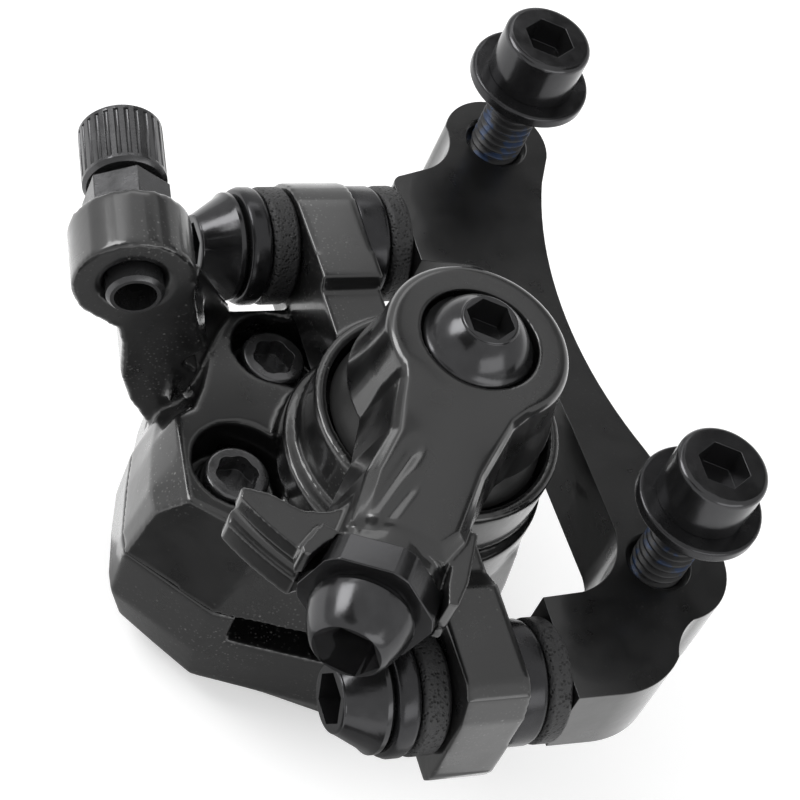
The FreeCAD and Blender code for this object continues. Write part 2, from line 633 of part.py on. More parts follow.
def make_outboard_housing():
    shell = loft("front_shell", [(PARTING, corners(PARTING_OUTLINE)), (SHOULDER, corners(SHOULDER_OUTLINE)),
                                 ("-plateau_deep", corners(FRONT_OUTLINE))])
    barrel = cylinder("actuator_barrel", "barrel_dia / 2", "barrel_top + parting_deep - 1",
                      ("0", "0", PARTING + " + 1"))
    barrel_soft = rounded("barrel_soft", barrel, "0.35",
                          lambda edge: edge.BoundBox.ZMin > 0 and edge.BoundBox.ZLength < 0.01)
    ledge = cylinder("barrel_ledge", "barrel_dia / 2 + 0.9", "plateau_deep - 4.1 + 1",
                     ("-0.75", "-0.45", "-plateau_deep - 1"))
    ledge_soft = rounded("ledge_soft", ledge, "0.5",
                         lambda edge: edge.BoundBox.ZMin > -5 and edge.BoundBox.ZLength < 0.01)
    blank = fuse("front_shell_webbed", [shell, arm_web()])
    shell = cut("front_shell_relieved", blank, [stack_way("upper", 1)])
    pieces = [shell, barrel_soft, ledge_soft, ear("upper", 1), ear("lower", -1), adjuster_arm()]
    whole = fuse("front_casting", pieces)
    tools = [
        cylinder("spring_recess", "barrel_dia / 2 - barrel_rim", "rim_deep + 1", ("0", "0", RECESS_FLOOR)),
        cylinder("bush_hole", BUSH_OUT, "roof_thick + 2", ("0", "0", BORE_TOP + " - 1")),
        cylinder("piston_bore", BORE, BORE_TOP + " + parting_deep + 1", ("0", "0", PARTING + " - 1")),
        box("front_pad_pocket", "pad_wide + 2 * pad_gap", "pad_long + 2 * pad_gap",
            POCKET_TOP + " + parting_deep + 1",
            (PAD_INNER + " - pad_gap", "-pad_long / 2 - pad_gap", PARTING + " - 1")),
    ]
    sunk = "(-plateau_deep - screw_sunk - screw_head_tall)"
    pocket = "screw_sunk + screw_head_tall + 0.3"
    for word, across, along in body_screw_places():
        tools.append(cylinder(word + "_screw_hole", "screw_dia / 2 + hole_gap", "parting_deep",
                              (across, along, PARTING + " - 1")))
    tools.append(slab("upper_screw_pocket", round_ended("0", "-counterbore_reach", "counterbore_reach",
                                                        "counterbore_narrow / 2"),
                      pocket, UPPER_POCKET + (sunk,), Rotation(Vector(0, 0, 1), POCKET_TURN)))
    tools.append(cylinder("lower_screw_pocket", "counterbore_dia / 2", pocket, LOWER_SCREW + (sunk,)))
    for word, way in (("upper", 1), ("lower", -1)):
        tools.append(ear_slot(word, way))
    tools.append(cylinder("adjuster_hole", "adjuster_dia / 2 + run_gap", "boss_long + 4",
                          adjuster_point("-2"), ALONG_ADJUSTER))
    tools.append(cone("adjuster_mouth", "adjuster_dia / 2 + 0.8", "adjuster_dia / 2", "0.8",
                      adjuster_point("0"), ALONG_ADJUSTER))
    casting = cut("outboard_housing", whole, tools)
    return sub_part("outboard_housing", place(casting, PIVOT))


def ear(word, way):
    """An ear for a caliper bolt, with its neck to the barrel, drawn in the plane of Y and Z."""
    middle = "%d * post_spacing / 2" % way

    def point(along, level, arc=None):
        row = ("%s + %s" % (middle, way * along), str(level))
        return row if arc is None else row + (arc,)
    near = "%d" % (way * 9)
    if word == "upper":
        rows = [(near, "-11.5"), point(2.5, -11.5), point(6.5, -9, "7"), point(6.9, -5, "7"),
                (middle, "-post_depth + 6.9", "6.9"), point(-10.2, 2.2), point(-10.9, 0.6), (near, "0.6")]
    else:
        rows = [(near, "-12"), point(6.6, -12), point(7.3, -10), point(6.9, -0.5), point(5.9, 2.4),
                point(4.4, 3.5), point(-6.5, 3.5), point(-9.0, 2.2), (near, "2.2")]
    solid = slab("%s_ear" % word, rows if way > 0 else rows[::-1], "ear_thick",
                 ("pivot_reach - " + EAR_OUTER, "0", "0"), SIDEWAYS)
    return solid


def shift_slot(way, half):
    """A slot round a caliper bolt's axis, as long as the caliper shifts on it."""
    return round_ended("%d * post_spacing / 2" % way, "-post_depth - ear_slot_travel",
                       "-post_depth + ear_slot_travel", half)


def ear_slot(word, way):
    """The slot that lets the caliper shift sideways on its bolts."""
    rows = shift_slot(way, "(bolt_dia / 2 + ear_slot_gap)")
    return slab("%s_ear_slot" % word, rows, "ear_thick + 4", ("pivot_reach - %s - 2" % EAR_OUTER, "0", "0"),
                SIDEWAYS)


def stack_way(word, way):
    """The room that the washers and the bolt's head need beside an ear, as the caliper shifts."""
    rows = shift_slot(way, "(seat_washer_dia / 2 + washer_room)")
    far = HEAD_SEAT + " + button_tall + washer_room"
    return slab("%s_stack_way" % word, rows, "%s - post_face" % far, ("pivot_reach - (%s)" % far, "0", "0"),
                SIDEWAYS)


LEAN = size("adjuster_lean")
ALONG_ADJUSTER = Rotation(Vector(0, 0, 1), -LEAN) * Rotation(Vector(1, 0, 0), -90)
ARM_PLANE = Rotation(Vector(0, 0, 1), -LEAN) * Rotation(Vector(1, 0, 0), 90)
ADJUSTER_X = "(pivot_reach - adjuster_across)"
ADJUSTER_Y = "(caliper_drop + adjuster_up)"


def adjuster_point(way):
    """A point of the adjuster's axis, measured from the boss's lower end, from the pivot."""
    return ("%s + (%s) * sin(adjuster_lean)" % (ADJUSTER_X, way),
            "%s + (%s) * cos(adjuster_lean)" % (ADJUSTER_Y, way), "cable_plane")


def adjuster_arm():
    """The arm from the housing's shoulder up to the boss that holds the cable adjuster."""
    foot = "(adjuster_across - arm_foot)"
    rows = [("-boss_dia / 2 + 0.1", "0"), ("-boss_dia / 2 + 0.4", "-2"), ("-4.2", "-5"), ("0.1", "-7.4"),
            ("1.2", "-9.8"), (foot + " - 5.1", "-14.8"), (foot + " - 3.1", "-19"), (foot, "-23"),
            (foot + " + 2", "-21"), (foot + " + 3", "-13.2"), ("8.1", "-11.8"), ("10.4", "-9.2"),
            ("8.4", "-6.1"), ("6.7", "-1.4"), ("boss_dia / 2", "0")]
    plate = slab("adjuster_arm_plate", rows, "boss_long", adjuster_point("boss_long"), ARM_PLANE)
    boss = cylinder("adjuster_boss", "boss_dia / 2", "boss_long", adjuster_point("0"), ALONG_ADJUSTER)
    return fuse("adjuster_arm", [plate, boss])


# The web in the corner between the arm and the flat front, at its foot, half way and its top.
WEB_FOOT = [(-24.5, 10.5), (-20.4, 13.9), (-16.4, 19.6), (-13.3, 22.9), (-15.0, 23.4), (-24.0, 20.0)]
WEB_MIDDLE = [(-24.5, 12.5), (-21.8, 14.8), (-18.9, 18.8), (-17.0, 20.9), (-17.6, 21.7), (-24.0, 20.2)]
WEB_TOP = [(-24.8, 14.2), (-24.0, 15.6), (-22.9, 17.8), (-22.3, 19.0), (-22.7, 19.6), (-24.4, 19.6)]


def arm_web():
    """The hollow-sided web that stiffens the arm."""
    return loft("arm_web", [("-plateau_deep - 1", corners(WEB_FOOT)),
                            ("-plateau_deep + 4", corners(WEB_MIDDLE)),
                            ("-plateau_deep + 11.9", corners(WEB_TOP))])


def make_inboard_housing():
    shell = loft("back_shell", [("-back_deep", corners(BACK_OUTLINE)),
                                ("-back_deep + back_round", corners(ROUND_OUTLINE)),
                                ("-parting_deep - waist_deep", corners(WAIST_OUTLINE)),
                                (PARTING, corners(PARTING_OUTLINE))])
    disc = cylinder("disc_way", "slot_round", "rotor_slot + 1", ("slot_round - slot_inner", "0", SLOT_LOW))
    tools = [
        disc,
        box("slot_window", "window_wide", "window_long", "rotor_slot + 1",
            ("-window_left", "-window_low", SLOT_LOW)),
        box("back_pad_pocket", "pad_wide + 2 * pad_gap", "pad_long + 2 * pad_gap",
            "rotor_slot + 4", (PAD_INNER + " - pad_gap", "-pad_long / 2 - pad_gap", POCKET_FLOOR)),
        cylinder("set_screw_hole", "set_screw_dia / 2 + run_gap", "back_deep", ("0", "0", "-back_deep - 2")),
    ]
    for word, across, along in body_screw_places():
        end = "-plateau_deep - screw_sunk - screw_head_tall - screw_long - 0.6"
        tools.append(cylinder(word + "_screw_thread", "screw_dia / 2 - 0.3", "screw_long",
                              (across, along, end)))
    return sub_part("inboard_housing", place(cut("inboard_housing", shell, tools), PIVOT))


def make_body_hardware():
    screws = []
    for word, across, along in body_screw_places():
        screw = turned(word + "_body_screw", [
            ("0", "-screw_head_tall"), ("screw_top_dia / 2 - 0.5", "-screw_head_tall"),
            ("screw_top_dia / 2", "-screw_head_tall + 0.5", "0.5"),
            ("screw_top_dia / 2", "-screw_flange - 0.4"), ("screw_head_dia / 2 - 0.4", "-screw_flange"),
            ("screw_head_dia / 2", "-screw_flange + 0.4", "0.4"), ("screw_head_dia / 2", "0"),
            ("screw_dia / 2 - 0.35", "0"), ("screw_dia / 2 - 0.35", "screw_long - 0.4"),
            ("screw_dia / 2 - 0.75", "screw_long"), ("0", "screw_long")])
        socket(screw, "-screw_head_tall", "2.4", six_lobes())
        place(screw, ("%s - pivot_reach" % across, "%s - caliper_drop" % along,
                      "-plateau_deep - screw_sunk - screw_head_tall"), DOWN)
        screws.append(screw)
    sub_part("body_screws", group("body_screws", screws))
    bush = turned("spindle_bush", [("spindle_dia / 2 + run_gap", BORE_TOP), (BUSH_OUT, BORE_TOP),
                                   (BUSH_OUT, RECESS_FLOOR), ("spindle_dia / 2 + run_gap", RECESS_FLOOR)])
    sub_part("spindle_bush", place(bush, PIVOT))
    spring_leaf()
    return_spring()


def spring_leaf():
    """The sheet spring along the slot's inner wall, between the two pads."""
    outer = "(slot_round - 0.05)"
    inner = "(slot_round - 0.05 - spring_sheet)"
    middle = "slot_round - slot_inner"
    half = "spring_leaf_long / 2"
    ring_out = cylinder("leaf_outer", outer, "rotor_slot - 0.2", (middle, "0", SLOT_LOW + " + 0.1"))
    ring_in = cylinder("leaf_inner", inner, "rotor_slot + 2", (middle, "0", SLOT_LOW + " - 1"))
    ring = cut("leaf_ring", ring_out, [ring_in])
    window = box("leaf_window", "6", "spring_leaf_long", "rotor_slot + 2",
                 ("-slot_inner - 1", "-" + half, SLOT_LOW + " - 1"))
    sub_part("pad_spring", place(common("leaf_piece", ring, window), PIVOT))


def return_spring():
    """The torsion spring under the dust cover, one unbroken wire on arcs of a quarter turn."""
    radius = size("barrel_dia / 2 - barrel_rim - coil_room")
    rise = size("coil_pitch") / 4
    wire = size("coil_wire") / 2
    start = size(RECESS_FLOOR) + wire + 0.05
    steps = int(size("coil_turns")) * 4
    eighth = math.pi / 4
    around = [Vector(radius * math.cos(eighth * k), radius * math.sin(eighth * k), start + rise * k / 2)
              for k in range(2 * steps + 1)]
    arcs = [Part.Arc(around[k], around[k + 1], around[k + 2]).toShape() for k in range(0, 2 * steps, 2)]
    section = Part.Wire([Part.Circle(around[0], arcs[0].tangentAt(arcs[0].FirstParameter), wire).toShape()])
    coil = doc.addObject("Part::Feature", "spring_wire")
    coil.Shape = Part.Wire(arcs).makePipeShell([section], True, False)
    place(coil, PIVOT)
    print("return spring: gap between turns %.2f mm" % (4 * rise - 2 * wire))
    sub_part("return_spring", coil)


# The drive: the lever turns a cam plate, whose balls climb the ramps of the piston.
THRUST_LOW = "(%s - 0.05 - thrust_thick)" % BORE_TOP
CAM_TOP = "(%s - 0.05)" % THRUST_LOW
CAM_LOW = "(%s - cam_thick)" % CAM_TOP
BALL_LEVEL = "(%s - 0.5)" % CAM_LOW
PISTON_TOP = "(%s - 1)" % CAM_LOW
SPINDLE_TOP = "(lever_top - recess_deep - 1.2)"


REST = Rotation(Vector(0, 0, 1), size("clamp_angle"))


def lever_place(item):
    """Turn a piece of the drive to the lever's rest direction at the pivot."""
    place(item, PIVOT, REST)
    bind(item, "Placement.Rotation.Angle", "clamp_angle")
    return item


def make_drive():
    thrust = turned("thrust_ring", [("spindle_dia / 2 + hole_gap", THRUST_LOW), ("cam_dia / 2", THRUST_LOW),
                                    ("cam_dia / 2", BORE_TOP), ("spindle_dia / 2 + hole_gap", BORE_TOP)])
    sub_part("thrust_washer", place(thrust, PIVOT))
    shaft = cylinder("spindle_shaft", "spindle_dia / 2", "lever_bottom - %s" % CAM_TOP, ("0", "0", CAM_TOP))
    plate = cylinder("spindle_cam", "cam_dia / 2", "cam_thick", ("0", "0", CAM_LOW))
    pilot = cylinder("spindle_pilot", "pilot_dia / 2", "pilot_long", ("0", "0", CAM_LOW + " - pilot_long"))
    square = box("spindle_end", "spindle_square", "spindle_square", SPINDLE_TOP + " - lever_bottom",
                 ("-spindle_square / 2", "-spindle_square / 2", "lever_bottom"))
    whole = fuse("spindle_blank", [shaft, plate, pilot, square])
    tools = [cylinder("spindle_thread", TAPPED, "lever_bolt_long + 2",
                      ("0", "0", SPINDLE_TOP + " - lever_bolt_long - 1"))]
    for number in range(int(size("ball_count"))):
        turn = Rotation(Vector(0, 0, 1), 360 * number / size("ball_count"))
        seat = doc.addObject("Part::Sphere", "ball_seat_%d" % number)
        bind(seat, "Radius", "ball_dia / 2 + 0.02")
        tools.append(place(seat, ball_place(number), turn))
    spindle = cut("drive_spindle", whole, tools)
    sub_part("drive_spindle", lever_place(spindle))
    balls = []
    for number in range(int(size("ball_count"))):
        ball = doc.addObject("Part::Sphere", "drive_ball_%d" % number)
        bind(ball, "Radius", "ball_dia / 2")
        balls.append(place(ball, ball_place(number)))
    sub_part("drive_balls", lever_place(group("drive_balls", balls)))
    piston()


def ball_place(number):
    angle = "%d * 360 / ball_count" % number
    return ("ball_circle * cos(%s)" % angle, "ball_circle * sin(%s)" % angle, BALL_LEVEL)


def piston():
    """The pressure piston with a rising track for each ball."""
    blank = turned("piston_blank", [
        ("pilot_dia / 2 + 0.4", PAD_TOP), ("piston_dia / 2 - 0.4", PAD_TOP),
        ("piston_dia / 2", PAD_TOP + " + 0.4"), ("piston_dia / 2", PISTON_TOP + " - 0.4"),
        ("piston_dia / 2 - 0.4", PISTON_TOP), ("pilot_dia / 2 + 0.4", PISTON_TOP)])
    track = size("ball_dia") / 2 + 0.1
    circle = size("ball_circle")
    level = size(BALL_LEVEL)
    travel = size("piston_travel")
    angle = size("ramp_angle")
    runs = []
    for number in range(int(size("ball_count"))):
        first = 360 * number / size("ball_count")
        path = Part.makeHelix(travel * 360 / angle, travel, circle, 0, True)
        tangent = path.Edges[0].tangentAt(path.Edges[0].FirstParameter)
        section = Part.Wire([Part.Circle(Vector(circle, 0, 0), tangent, track).toShape()])
        groove = Part.Wire(path.Edges).makePipeShell([section], True, True)
        ends = [Part.makeSphere(track, Vector(circle, 0, 0)),
                Part.makeSphere(track, Vector(circle * math.cos(math.radians(angle)),
                                              -circle * math.sin(math.radians(angle)), travel))]
        run = groove.fuse(ends)
        run.rotate(Vector(0, 0, 0), Vector(0, 0, 1), first)
        run.translate(Vector(0, 0, level))
        runs.append(run)
    tracks = doc.addObject("Part::Feature", "ball_tracks")
    tracks.Shape = Part.makeCompound(runs)
    ramped = cut("pressure_piston", blank, [tracks])
    sub_part("pressure_piston", lever_place(ramped))


def make_pads():
    levels = (("outboard", PAD_TOP + " - plate_back", PAD_TOP, "-parting_deep - lining_rest"),
              ("inboard", FIXED_BACK, FIXED_BACK + " + plate_back", FIXED_LINING))
    for word, low, high, face in levels:
        backing = prism(word + "_back_plate", pad_outline("0"), low, high)
        sub_part(word + "_pad_backing", place(backing, PIVOT))
        span = (face, low) if word == "outboard" else (high, face)
        lining = prism(word + "_friction", pad_outline("0.8"), *span)
        sub_part(word + "_pad_lining", place(lining, PIVOT))
    screw = turned("pad_set_screw", [
        ("0", FIXED_BACK + " - 0.05 - set_screw_long"),
        ("set_screw_dia / 2 - 0.5", FIXED_BACK + " - 0.05 - set_screw_long"),
        ("set_screw_dia / 2", FIXED_BACK + " + 0.45 - set_screw_long"),
        ("set_screw_dia / 2", FIXED_BACK + " - 0.55"),
        ("set_screw_dia / 2 - 0.5", FIXED_BACK + " - 0.05"), ("0", FIXED_BACK + " - 0.05")])
    socket(screw, FIXED_BACK + " - 0.05 - set_screw_long", "hex_deep", hexagon("hex_key"))
    sub_part("pad_adjuster_screw", place(screw, PIVOT))


# The lever, drawn with X along its arm from the pivot, and then turned to its rest direction.
SEAT = "(guide_radius - clamp_step)"
ARM_LOW = [
    (0, -10.9), (4.8, -9.2), (8.3, -7.6), (14.2, -6.6), (21.5, -6.9), (SEAT + " - 1", -6.2),
    (SEAT + " - 1", 7.2), (SEAT + " - 5.2", 7.6), (16, 7.1), (9, 7.8), (4.5, 9.8), (0, 10.9)]
ARM_HIGH = [
    (0, -9.2), (3.9, -8.0), (8.7, -5.9), (15.0, -4.6), (20.9, -5.1), (SEAT + " - 1.6", -4.6),
    (SEAT + " - 1.6", 5.0), (SEAT + " - 5.2", 6.1), (16, 5.8), (8.5, 6.7), (4.6, 8.4), (0, 9.3)]
ARM_TOP = [
    (0, -8.6), (3.6, -7.4), (8.9, -5.2), (15.3, -3.9), (20.8, -4.2), (SEAT + " - 2.8", -3.2),
    (SEAT + " - 2.8", 3.8), (SEAT + " - 5.2", 5.2), (16, 5.2), (8.2, 6.1), (4.6, 7.8), (0, 8.7)]
OUTWARD = Rotation(Vector(0, 1, 0), 90)
LEVER_EDGE = "(lever_top - 0.9)"
PLATE_TURN = 16


def make_lever():
    hub = turned("lever_hub", [
        ("0", "lever_bottom"), ("hub_low_dia / 2 - 0.3", "lever_bottom"),
        ("hub_low_dia / 2", "lever_bottom + 0.3"),
        ("hub_top_dia / 2 + 1.5", "lever_bottom + 5"), ("hub_top_dia / 2 + 1.1", "lever_top - 1.1"),
        ("hub_top_dia / 2", "lever_top", "1.1"), ("0", "lever_top")])
    arm = loft("lever_arm_blank", [("lever_bottom", corners(ARM_LOW)), (LEVER_EDGE, corners(ARM_HIGH)),
                                   ("lever_top", corners(ARM_TOP))])
    seat = cylinder("clamp_boss", "seat_round / 2", "6", (SEAT + " - 6", "0", "cable_plane"), OUTWARD)
    guide = prism("cable_guide", guide_outline(), "guide_low", "guide_high")
    tab = prism("anti_turn_tab", [("22", "5"), (SEAT, "6.2"), (SEAT + " + 2.3", "6.9"), (SEAT + " + 2", "7.9"),
                                  (SEAT + " - 1.2", "8.0"), ("22", "7.2")],
                "lever_bottom + 2", "lever_top - 2")
    bead = prism("guide_bead", [(SEAT + " - 0.4", "-7.2"), (SEAT + " + 3.1", "-8.1"), (SEAT + " + 3.9", "-7.8"),
                                (SEAT + " + 3.7", "-7"), (SEAT + " + 1.5", "-6.1"), (SEAT + " - 0.3", "-4.8")],
                 "cable_plane", "bead_high")
    whole = fuse("lever_blank", [hub, arm, seat, guide, tab, bead])
    groove = doc.addObject("Part::Torus", "guide_groove")
    bind(groove, "Radius1", "guide_radius + 0.1")
    bind(groove, "Radius2", "groove_dia / 2")
    place(groove, ("0", "0", "cable_plane"))
    tools = [
        groove,
        cylinder("bolt_recess", "recess_dia / 2", "recess_deep + 1", ("0", "0", "lever_top - recess_deep")),
        cylinder("lever_bolt_hole", "bolt_dia / 2 + hole_gap", "6", ("0", "0", "lever_top - recess_deep - 5")),
        box("square_hole", "spindle_square + 2 * run_gap", "spindle_square + 2 * run_gap",
            SPINDLE_TOP + " + run_gap - lever_bottom + 1",
            ("-spindle_square / 2 - run_gap", "-spindle_square / 2 - run_gap", "lever_bottom - 1")),
        cylinder("clamp_thread", "clamp_bolt_dia / 2 - 0.4", "clamp_bolt_long",
                 (SEAT + " + clamp_plate + 0.4 - clamp_bolt_long", "0", "cable_plane"), OUTWARD),
        cylinder("clamp_room", "clamp_corners / 2 + clamp_gap", "clamp_plate + 3",
                 (SEAT, "0", "cable_plane"), OUTWARD),
    ]
    sub_part("lever_arm", lever_place(cut("lever_arm", whole, tools)))
    bolt = button_bolt("lever_bolt", "1.2", "lever_bolt_long", "lever_bolt_top", "lever_bolt_key",
                       ("lever_bolt_crown",))
    sub_part("lever_bolt", place(bolt, (PIVOT_X, PIVOT_Y, "lever_top - recess_deep"), DOWN))
    plate = slab("clamp_hexagon", hexagon("clamp_flats"), "clamp_plate", ("0", "0", "0"), None)
    disc = cylinder("clamp_disc", "clamp_corners / 2", "clamp_plate")
    hole = cylinder("clamp_hole", "clamp_bolt_dia / 2 + hole_gap", "clamp_plate + 2", ("0", "0", "-1"))
    clamp = cut("clamp_plate_piece", common("clamp_plate_blank", plate, disc), [hole])
    sub_part("clamp_plate", on_seat(clamp, "0.02", Rotation(Vector(0, 0, 1), PLATE_TURN)))
    dome = turned("clamp_screw", [
        ("0", "-clamp_plate - dome_tall"), ("dome_top / 2 - 0.4", "-clamp_plate - dome_tall"),
        ("dome_top / 2", "-clamp_plate - dome_tall + 0.4"), ("dome_dia / 2", "-clamp_plate - 1", "dome_crown"),
        ("dome_dia / 2 - 0.6", "-clamp_plate - 0.4"), ("dome_dia / 2 - 0.6", "-clamp_plate"),
        ("clamp_bolt_dia / 2", "-clamp_plate"), ("clamp_bolt_dia / 2", "-0.2"),
        ("clamp_bolt_dia / 2 - 0.45", "-0.2"),
        ("clamp_bolt_dia / 2 - 0.45", "clamp_bolt_long - clamp_plate - 0.5"),
        ("0", "clamp_bolt_long - clamp_plate - 0.5")])
    socket(dome, "-clamp_plate - dome_tall", "hex_deep", hexagon("dome_key"))
    sub_part("clamp_bolt", on_seat(dome, "0.02", Rotation(Vector(0, 1, 0), 180)))
    skirt = "(barrel_dia / 2 - barrel_rim - cover_gap)"
    shoulder = "(barrel_dia / 2 - barrel_rim - cover_gap - cover_slope)"
    cover = turned("cover_cone", [
        (skirt, "barrel_top - 1.1"), (shoulder + " + 0.4", "lever_bottom - 0.3"),
        (shoulder, "lever_bottom - 0.05"),
        ("spindle_dia / 2 + hole_gap", "lever_bottom - 0.05"),
        ("spindle_dia / 2 + hole_gap", "lever_bottom - 0.05 - cover_wall"),
        (shoulder + " - cover_wall", "lever_bottom - 0.05 - cover_wall"),
        (skirt + " - cover_wall", "barrel_top - 1.1")])
    sub_part("dust_cover", place(cover, PIVOT))


def on_seat(item, gap, own_turn):
    """Stand a piece on the clamp seat, its own Z pointing away from the pivot along the arm."""
    turn = REST * OUTWARD * own_turn
    return place(item, ("(%s + %s) * cos(clamp_angle) - pivot_reach" % (SEAT, gap),
                        "(%s + %s) * sin(clamp_angle) - caliper_drop" % (SEAT, gap), "cable_plane"), turn)


def guide_outline():
    """The cable guide beside the arm, round about the pivot on its far side."""
    def point(inward, angle, arc=None):
        out = "(guide_radius - %s)" % inward
        row = ("%s * cos(%s)" % (out, angle), "-%s * sin(%s)" % (out, angle))
        return row if arc is None else row + (arc,)
    return [point(0, "(clamp_angle - guide_start)"), point(0, "12.6 deg", "guide_radius"),
            point(1.4, "11.3 deg"),
            point(3.4, "9.7 deg"), (SEAT + " - 7.2", "-4"), point(8.9, "12.9 deg"), point(5.6, "15.3 deg", "-6"),
            point(4, "18.9 deg"), point(2.8, "25.5 deg"), point(0.95, "29.1 deg")]


def make_adjuster():
    nut_low = "(boss_long + 0.05)"
    plate = slab("adjuster_hexagon", hexagon("nut_flats"), "nut_tall", ("0", "0", "0"), None)
    hole = cylinder("adjuster_nut_hole", "adjuster_dia / 2 + run_gap", "nut_tall + 2", ("0", "0", "-1"))
    nut = cut("adjuster_nut_piece", plate, [hole])
    sub_part("adjuster_nut", on_adjuster(nut, nut_low))
    cap = "(%s + nut_tall + knob_gap)" % nut_low
    blank = turned("adjuster_blank", [
        ("adjuster_bore / 2", "-adjuster_out"), ("adjuster_dia / 2 - 0.4", "-adjuster_out"),
        ("adjuster_dia / 2", "-adjuster_out + 0.4"), ("adjuster_dia / 2", cap),
        ("knob_dia / 2 - 0.4", cap), ("knob_dia / 2", cap + " + 0.4"),
        ("knob_dia / 2", cap + " + knob_long - 0.4"), ("knob_dia / 2 - 0.4", cap + " + knob_long"),
        ("housing_seat / 2", cap + " + knob_long"), ("housing_seat / 2", cap + " + knob_long - housing_deep"),
        ("adjuster_bore / 2", cap + " + knob_long - housing_deep")])
    grooves = []
    count = int(size("knurl_count"))
    knurl_at = "(knob_dia / 2 + 0.08)"
    for number in range(count):
        angle = "%d * 360 / knurl_count" % number
        grooves.append(cylinder("knurl_%d" % number, "0.28", "knob_long - 1.6",
                                ("%s * cos(%s)" % (knurl_at, angle), "%s * sin(%s)" % (knurl_at, angle),
                                 cap + " + 0.8")))
    sub_part("barrel_adjuster", on_adjuster(cut("barrel_adjuster", blank, grooves), "0"))


def on_adjuster(item, way):
    """Put a piece on the adjuster's axis at a distance from the boss's lower end."""
    across, along, level = adjuster_point(way)
    return place(item, (across + " - pivot_reach", along + " - caliper_drop", level), ALONG_ADJUSTER)


make_bracket()
make_fork_bolts()
make_post_stacks()
make_outboard_housing()
make_inboard_housing()
make_body_hardware()
make_drive()
make_pads()
make_lever()
make_adjuster()
doc.recompute()

# Every object is checked before anything is written.
faults = [item.Name for item in doc.Objects if "Invalid" in item.State or "Error" in item.State]
if faults:
    raise SystemExit("failed objects: %s" % ", ".join(faults))
for item in SUB_PARTS:
    if item.Shape.isNull() or not item.Shape.isValid():
        raise SystemExit("bad shape: %s" % item.Label)

os.makedirs("parts", exist_ok=True)
for item in SUB_PARTS:
    item.Shape.exportStep("parts/%s.step" % item.Label)
    print("%-26s %d solids %10.1f mm3" % (item.Label, len(item.Shape.Solids), item.Shape.Volume))
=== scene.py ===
# %% [markdown]
# The cable-pulled disc brake caliper of an electric scooter, with its adapter bracket.
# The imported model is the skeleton: every piece stands where it was built, and nothing here moves it.
# This lesson gives each piece its finish, and gives a softened skin to the pieces that were cast.

# %% Load the frame
import json
import math
import bpy
import bmesh
import numpy as np
from mathutils import Matrix, Vector


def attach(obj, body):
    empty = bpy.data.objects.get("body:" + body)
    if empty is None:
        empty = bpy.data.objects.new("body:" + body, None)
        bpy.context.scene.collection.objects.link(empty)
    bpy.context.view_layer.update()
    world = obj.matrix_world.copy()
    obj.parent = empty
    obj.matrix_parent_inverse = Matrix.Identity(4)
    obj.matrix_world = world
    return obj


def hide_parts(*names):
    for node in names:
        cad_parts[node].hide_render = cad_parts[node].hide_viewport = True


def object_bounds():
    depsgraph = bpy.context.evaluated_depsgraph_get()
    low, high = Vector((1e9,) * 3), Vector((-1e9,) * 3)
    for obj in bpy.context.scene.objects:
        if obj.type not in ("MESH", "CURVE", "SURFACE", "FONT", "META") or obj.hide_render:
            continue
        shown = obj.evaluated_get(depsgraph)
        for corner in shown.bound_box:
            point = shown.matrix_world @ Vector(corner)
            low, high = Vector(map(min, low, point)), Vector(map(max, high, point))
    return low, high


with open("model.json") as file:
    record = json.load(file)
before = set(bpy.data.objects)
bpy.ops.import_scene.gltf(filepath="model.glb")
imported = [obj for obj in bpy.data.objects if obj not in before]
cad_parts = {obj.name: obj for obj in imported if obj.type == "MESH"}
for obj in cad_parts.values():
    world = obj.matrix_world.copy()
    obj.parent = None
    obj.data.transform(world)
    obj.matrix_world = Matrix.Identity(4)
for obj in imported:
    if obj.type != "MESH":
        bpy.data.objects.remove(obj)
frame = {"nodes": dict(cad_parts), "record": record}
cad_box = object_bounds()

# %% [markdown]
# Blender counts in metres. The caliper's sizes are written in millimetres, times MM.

MM = 0.001
nodes = frame["nodes"]
scene = bpy.context.scene
body_of = {name: body for body, names in frame["record"]["behaviour"]["bodies"].items() for name in names}

# %% [markdown]
# The photograph looks down at about 48 degrees from the front left, through a long lens.
# The camera could be aimed at a target; here its own axes are written, because they were measured.

# %% Camera
CAMERA_AT = (-153.4 * MM, -170.5 * MM, 231.0 * MM)
CAMERA_RIGHT = (0.9076, -0.2767, 0.3158)
CAMERA_UP = (0.0393, 0.8048, 0.5923)
CAMERA_BACK = (-0.4180, -0.5251, 0.7413)
NEAREST = 10 * MM
# Blender takes these two in millimetres.
LENS = 132.8
SENSOR = 36.0

camera_data = bpy.data.cameras.new("camera")
camera_data.lens = LENS
camera_data.sensor_width = SENSOR
camera_data.clip_start = NEAREST
camera = bpy.data.objects.new("camera", camera_data)
camera_frame = Matrix((CAMERA_RIGHT, CAMERA_UP, CAMERA_BACK)).transposed().to_4x4()
camera_frame.translation = CAMERA_AT
camera.matrix_world = camera_frame
scene.collection.objects.link(camera)
scene.camera = camera
print("camera at", [round(value, 4) for value in camera.matrix_world.translation])

# %% [markdown]
# A finish is a graph of shader nodes. Written as arithmetic it stays short, so a small class wraps
# a socket and turns +, - and * into Math nodes, and one method makes every other kind of node.

# %% Shader arithmetic
class Wire:
    """An output socket that can be added, subtracted and multiplied."""

    def __init__(self, graph, socket):
        self.graph = graph
        self.socket = socket

    def __add__(self, other):
        return self.graph.math("ADD", self, other)

    def __radd__(self, other):
        return self.graph.math("ADD", other, self)

    def __sub__(self, other):
        return self.graph.math("SUBTRACT", self, other)

    def __rsub__(self, other):
        return self.graph.math("SUBTRACT", other, self)

    def __mul__(self, other):
        return self.graph.math("MULTIPLY", self, other)

    def __rmul__(self, other):
        return self.graph.math("MULTIPLY", other, self)


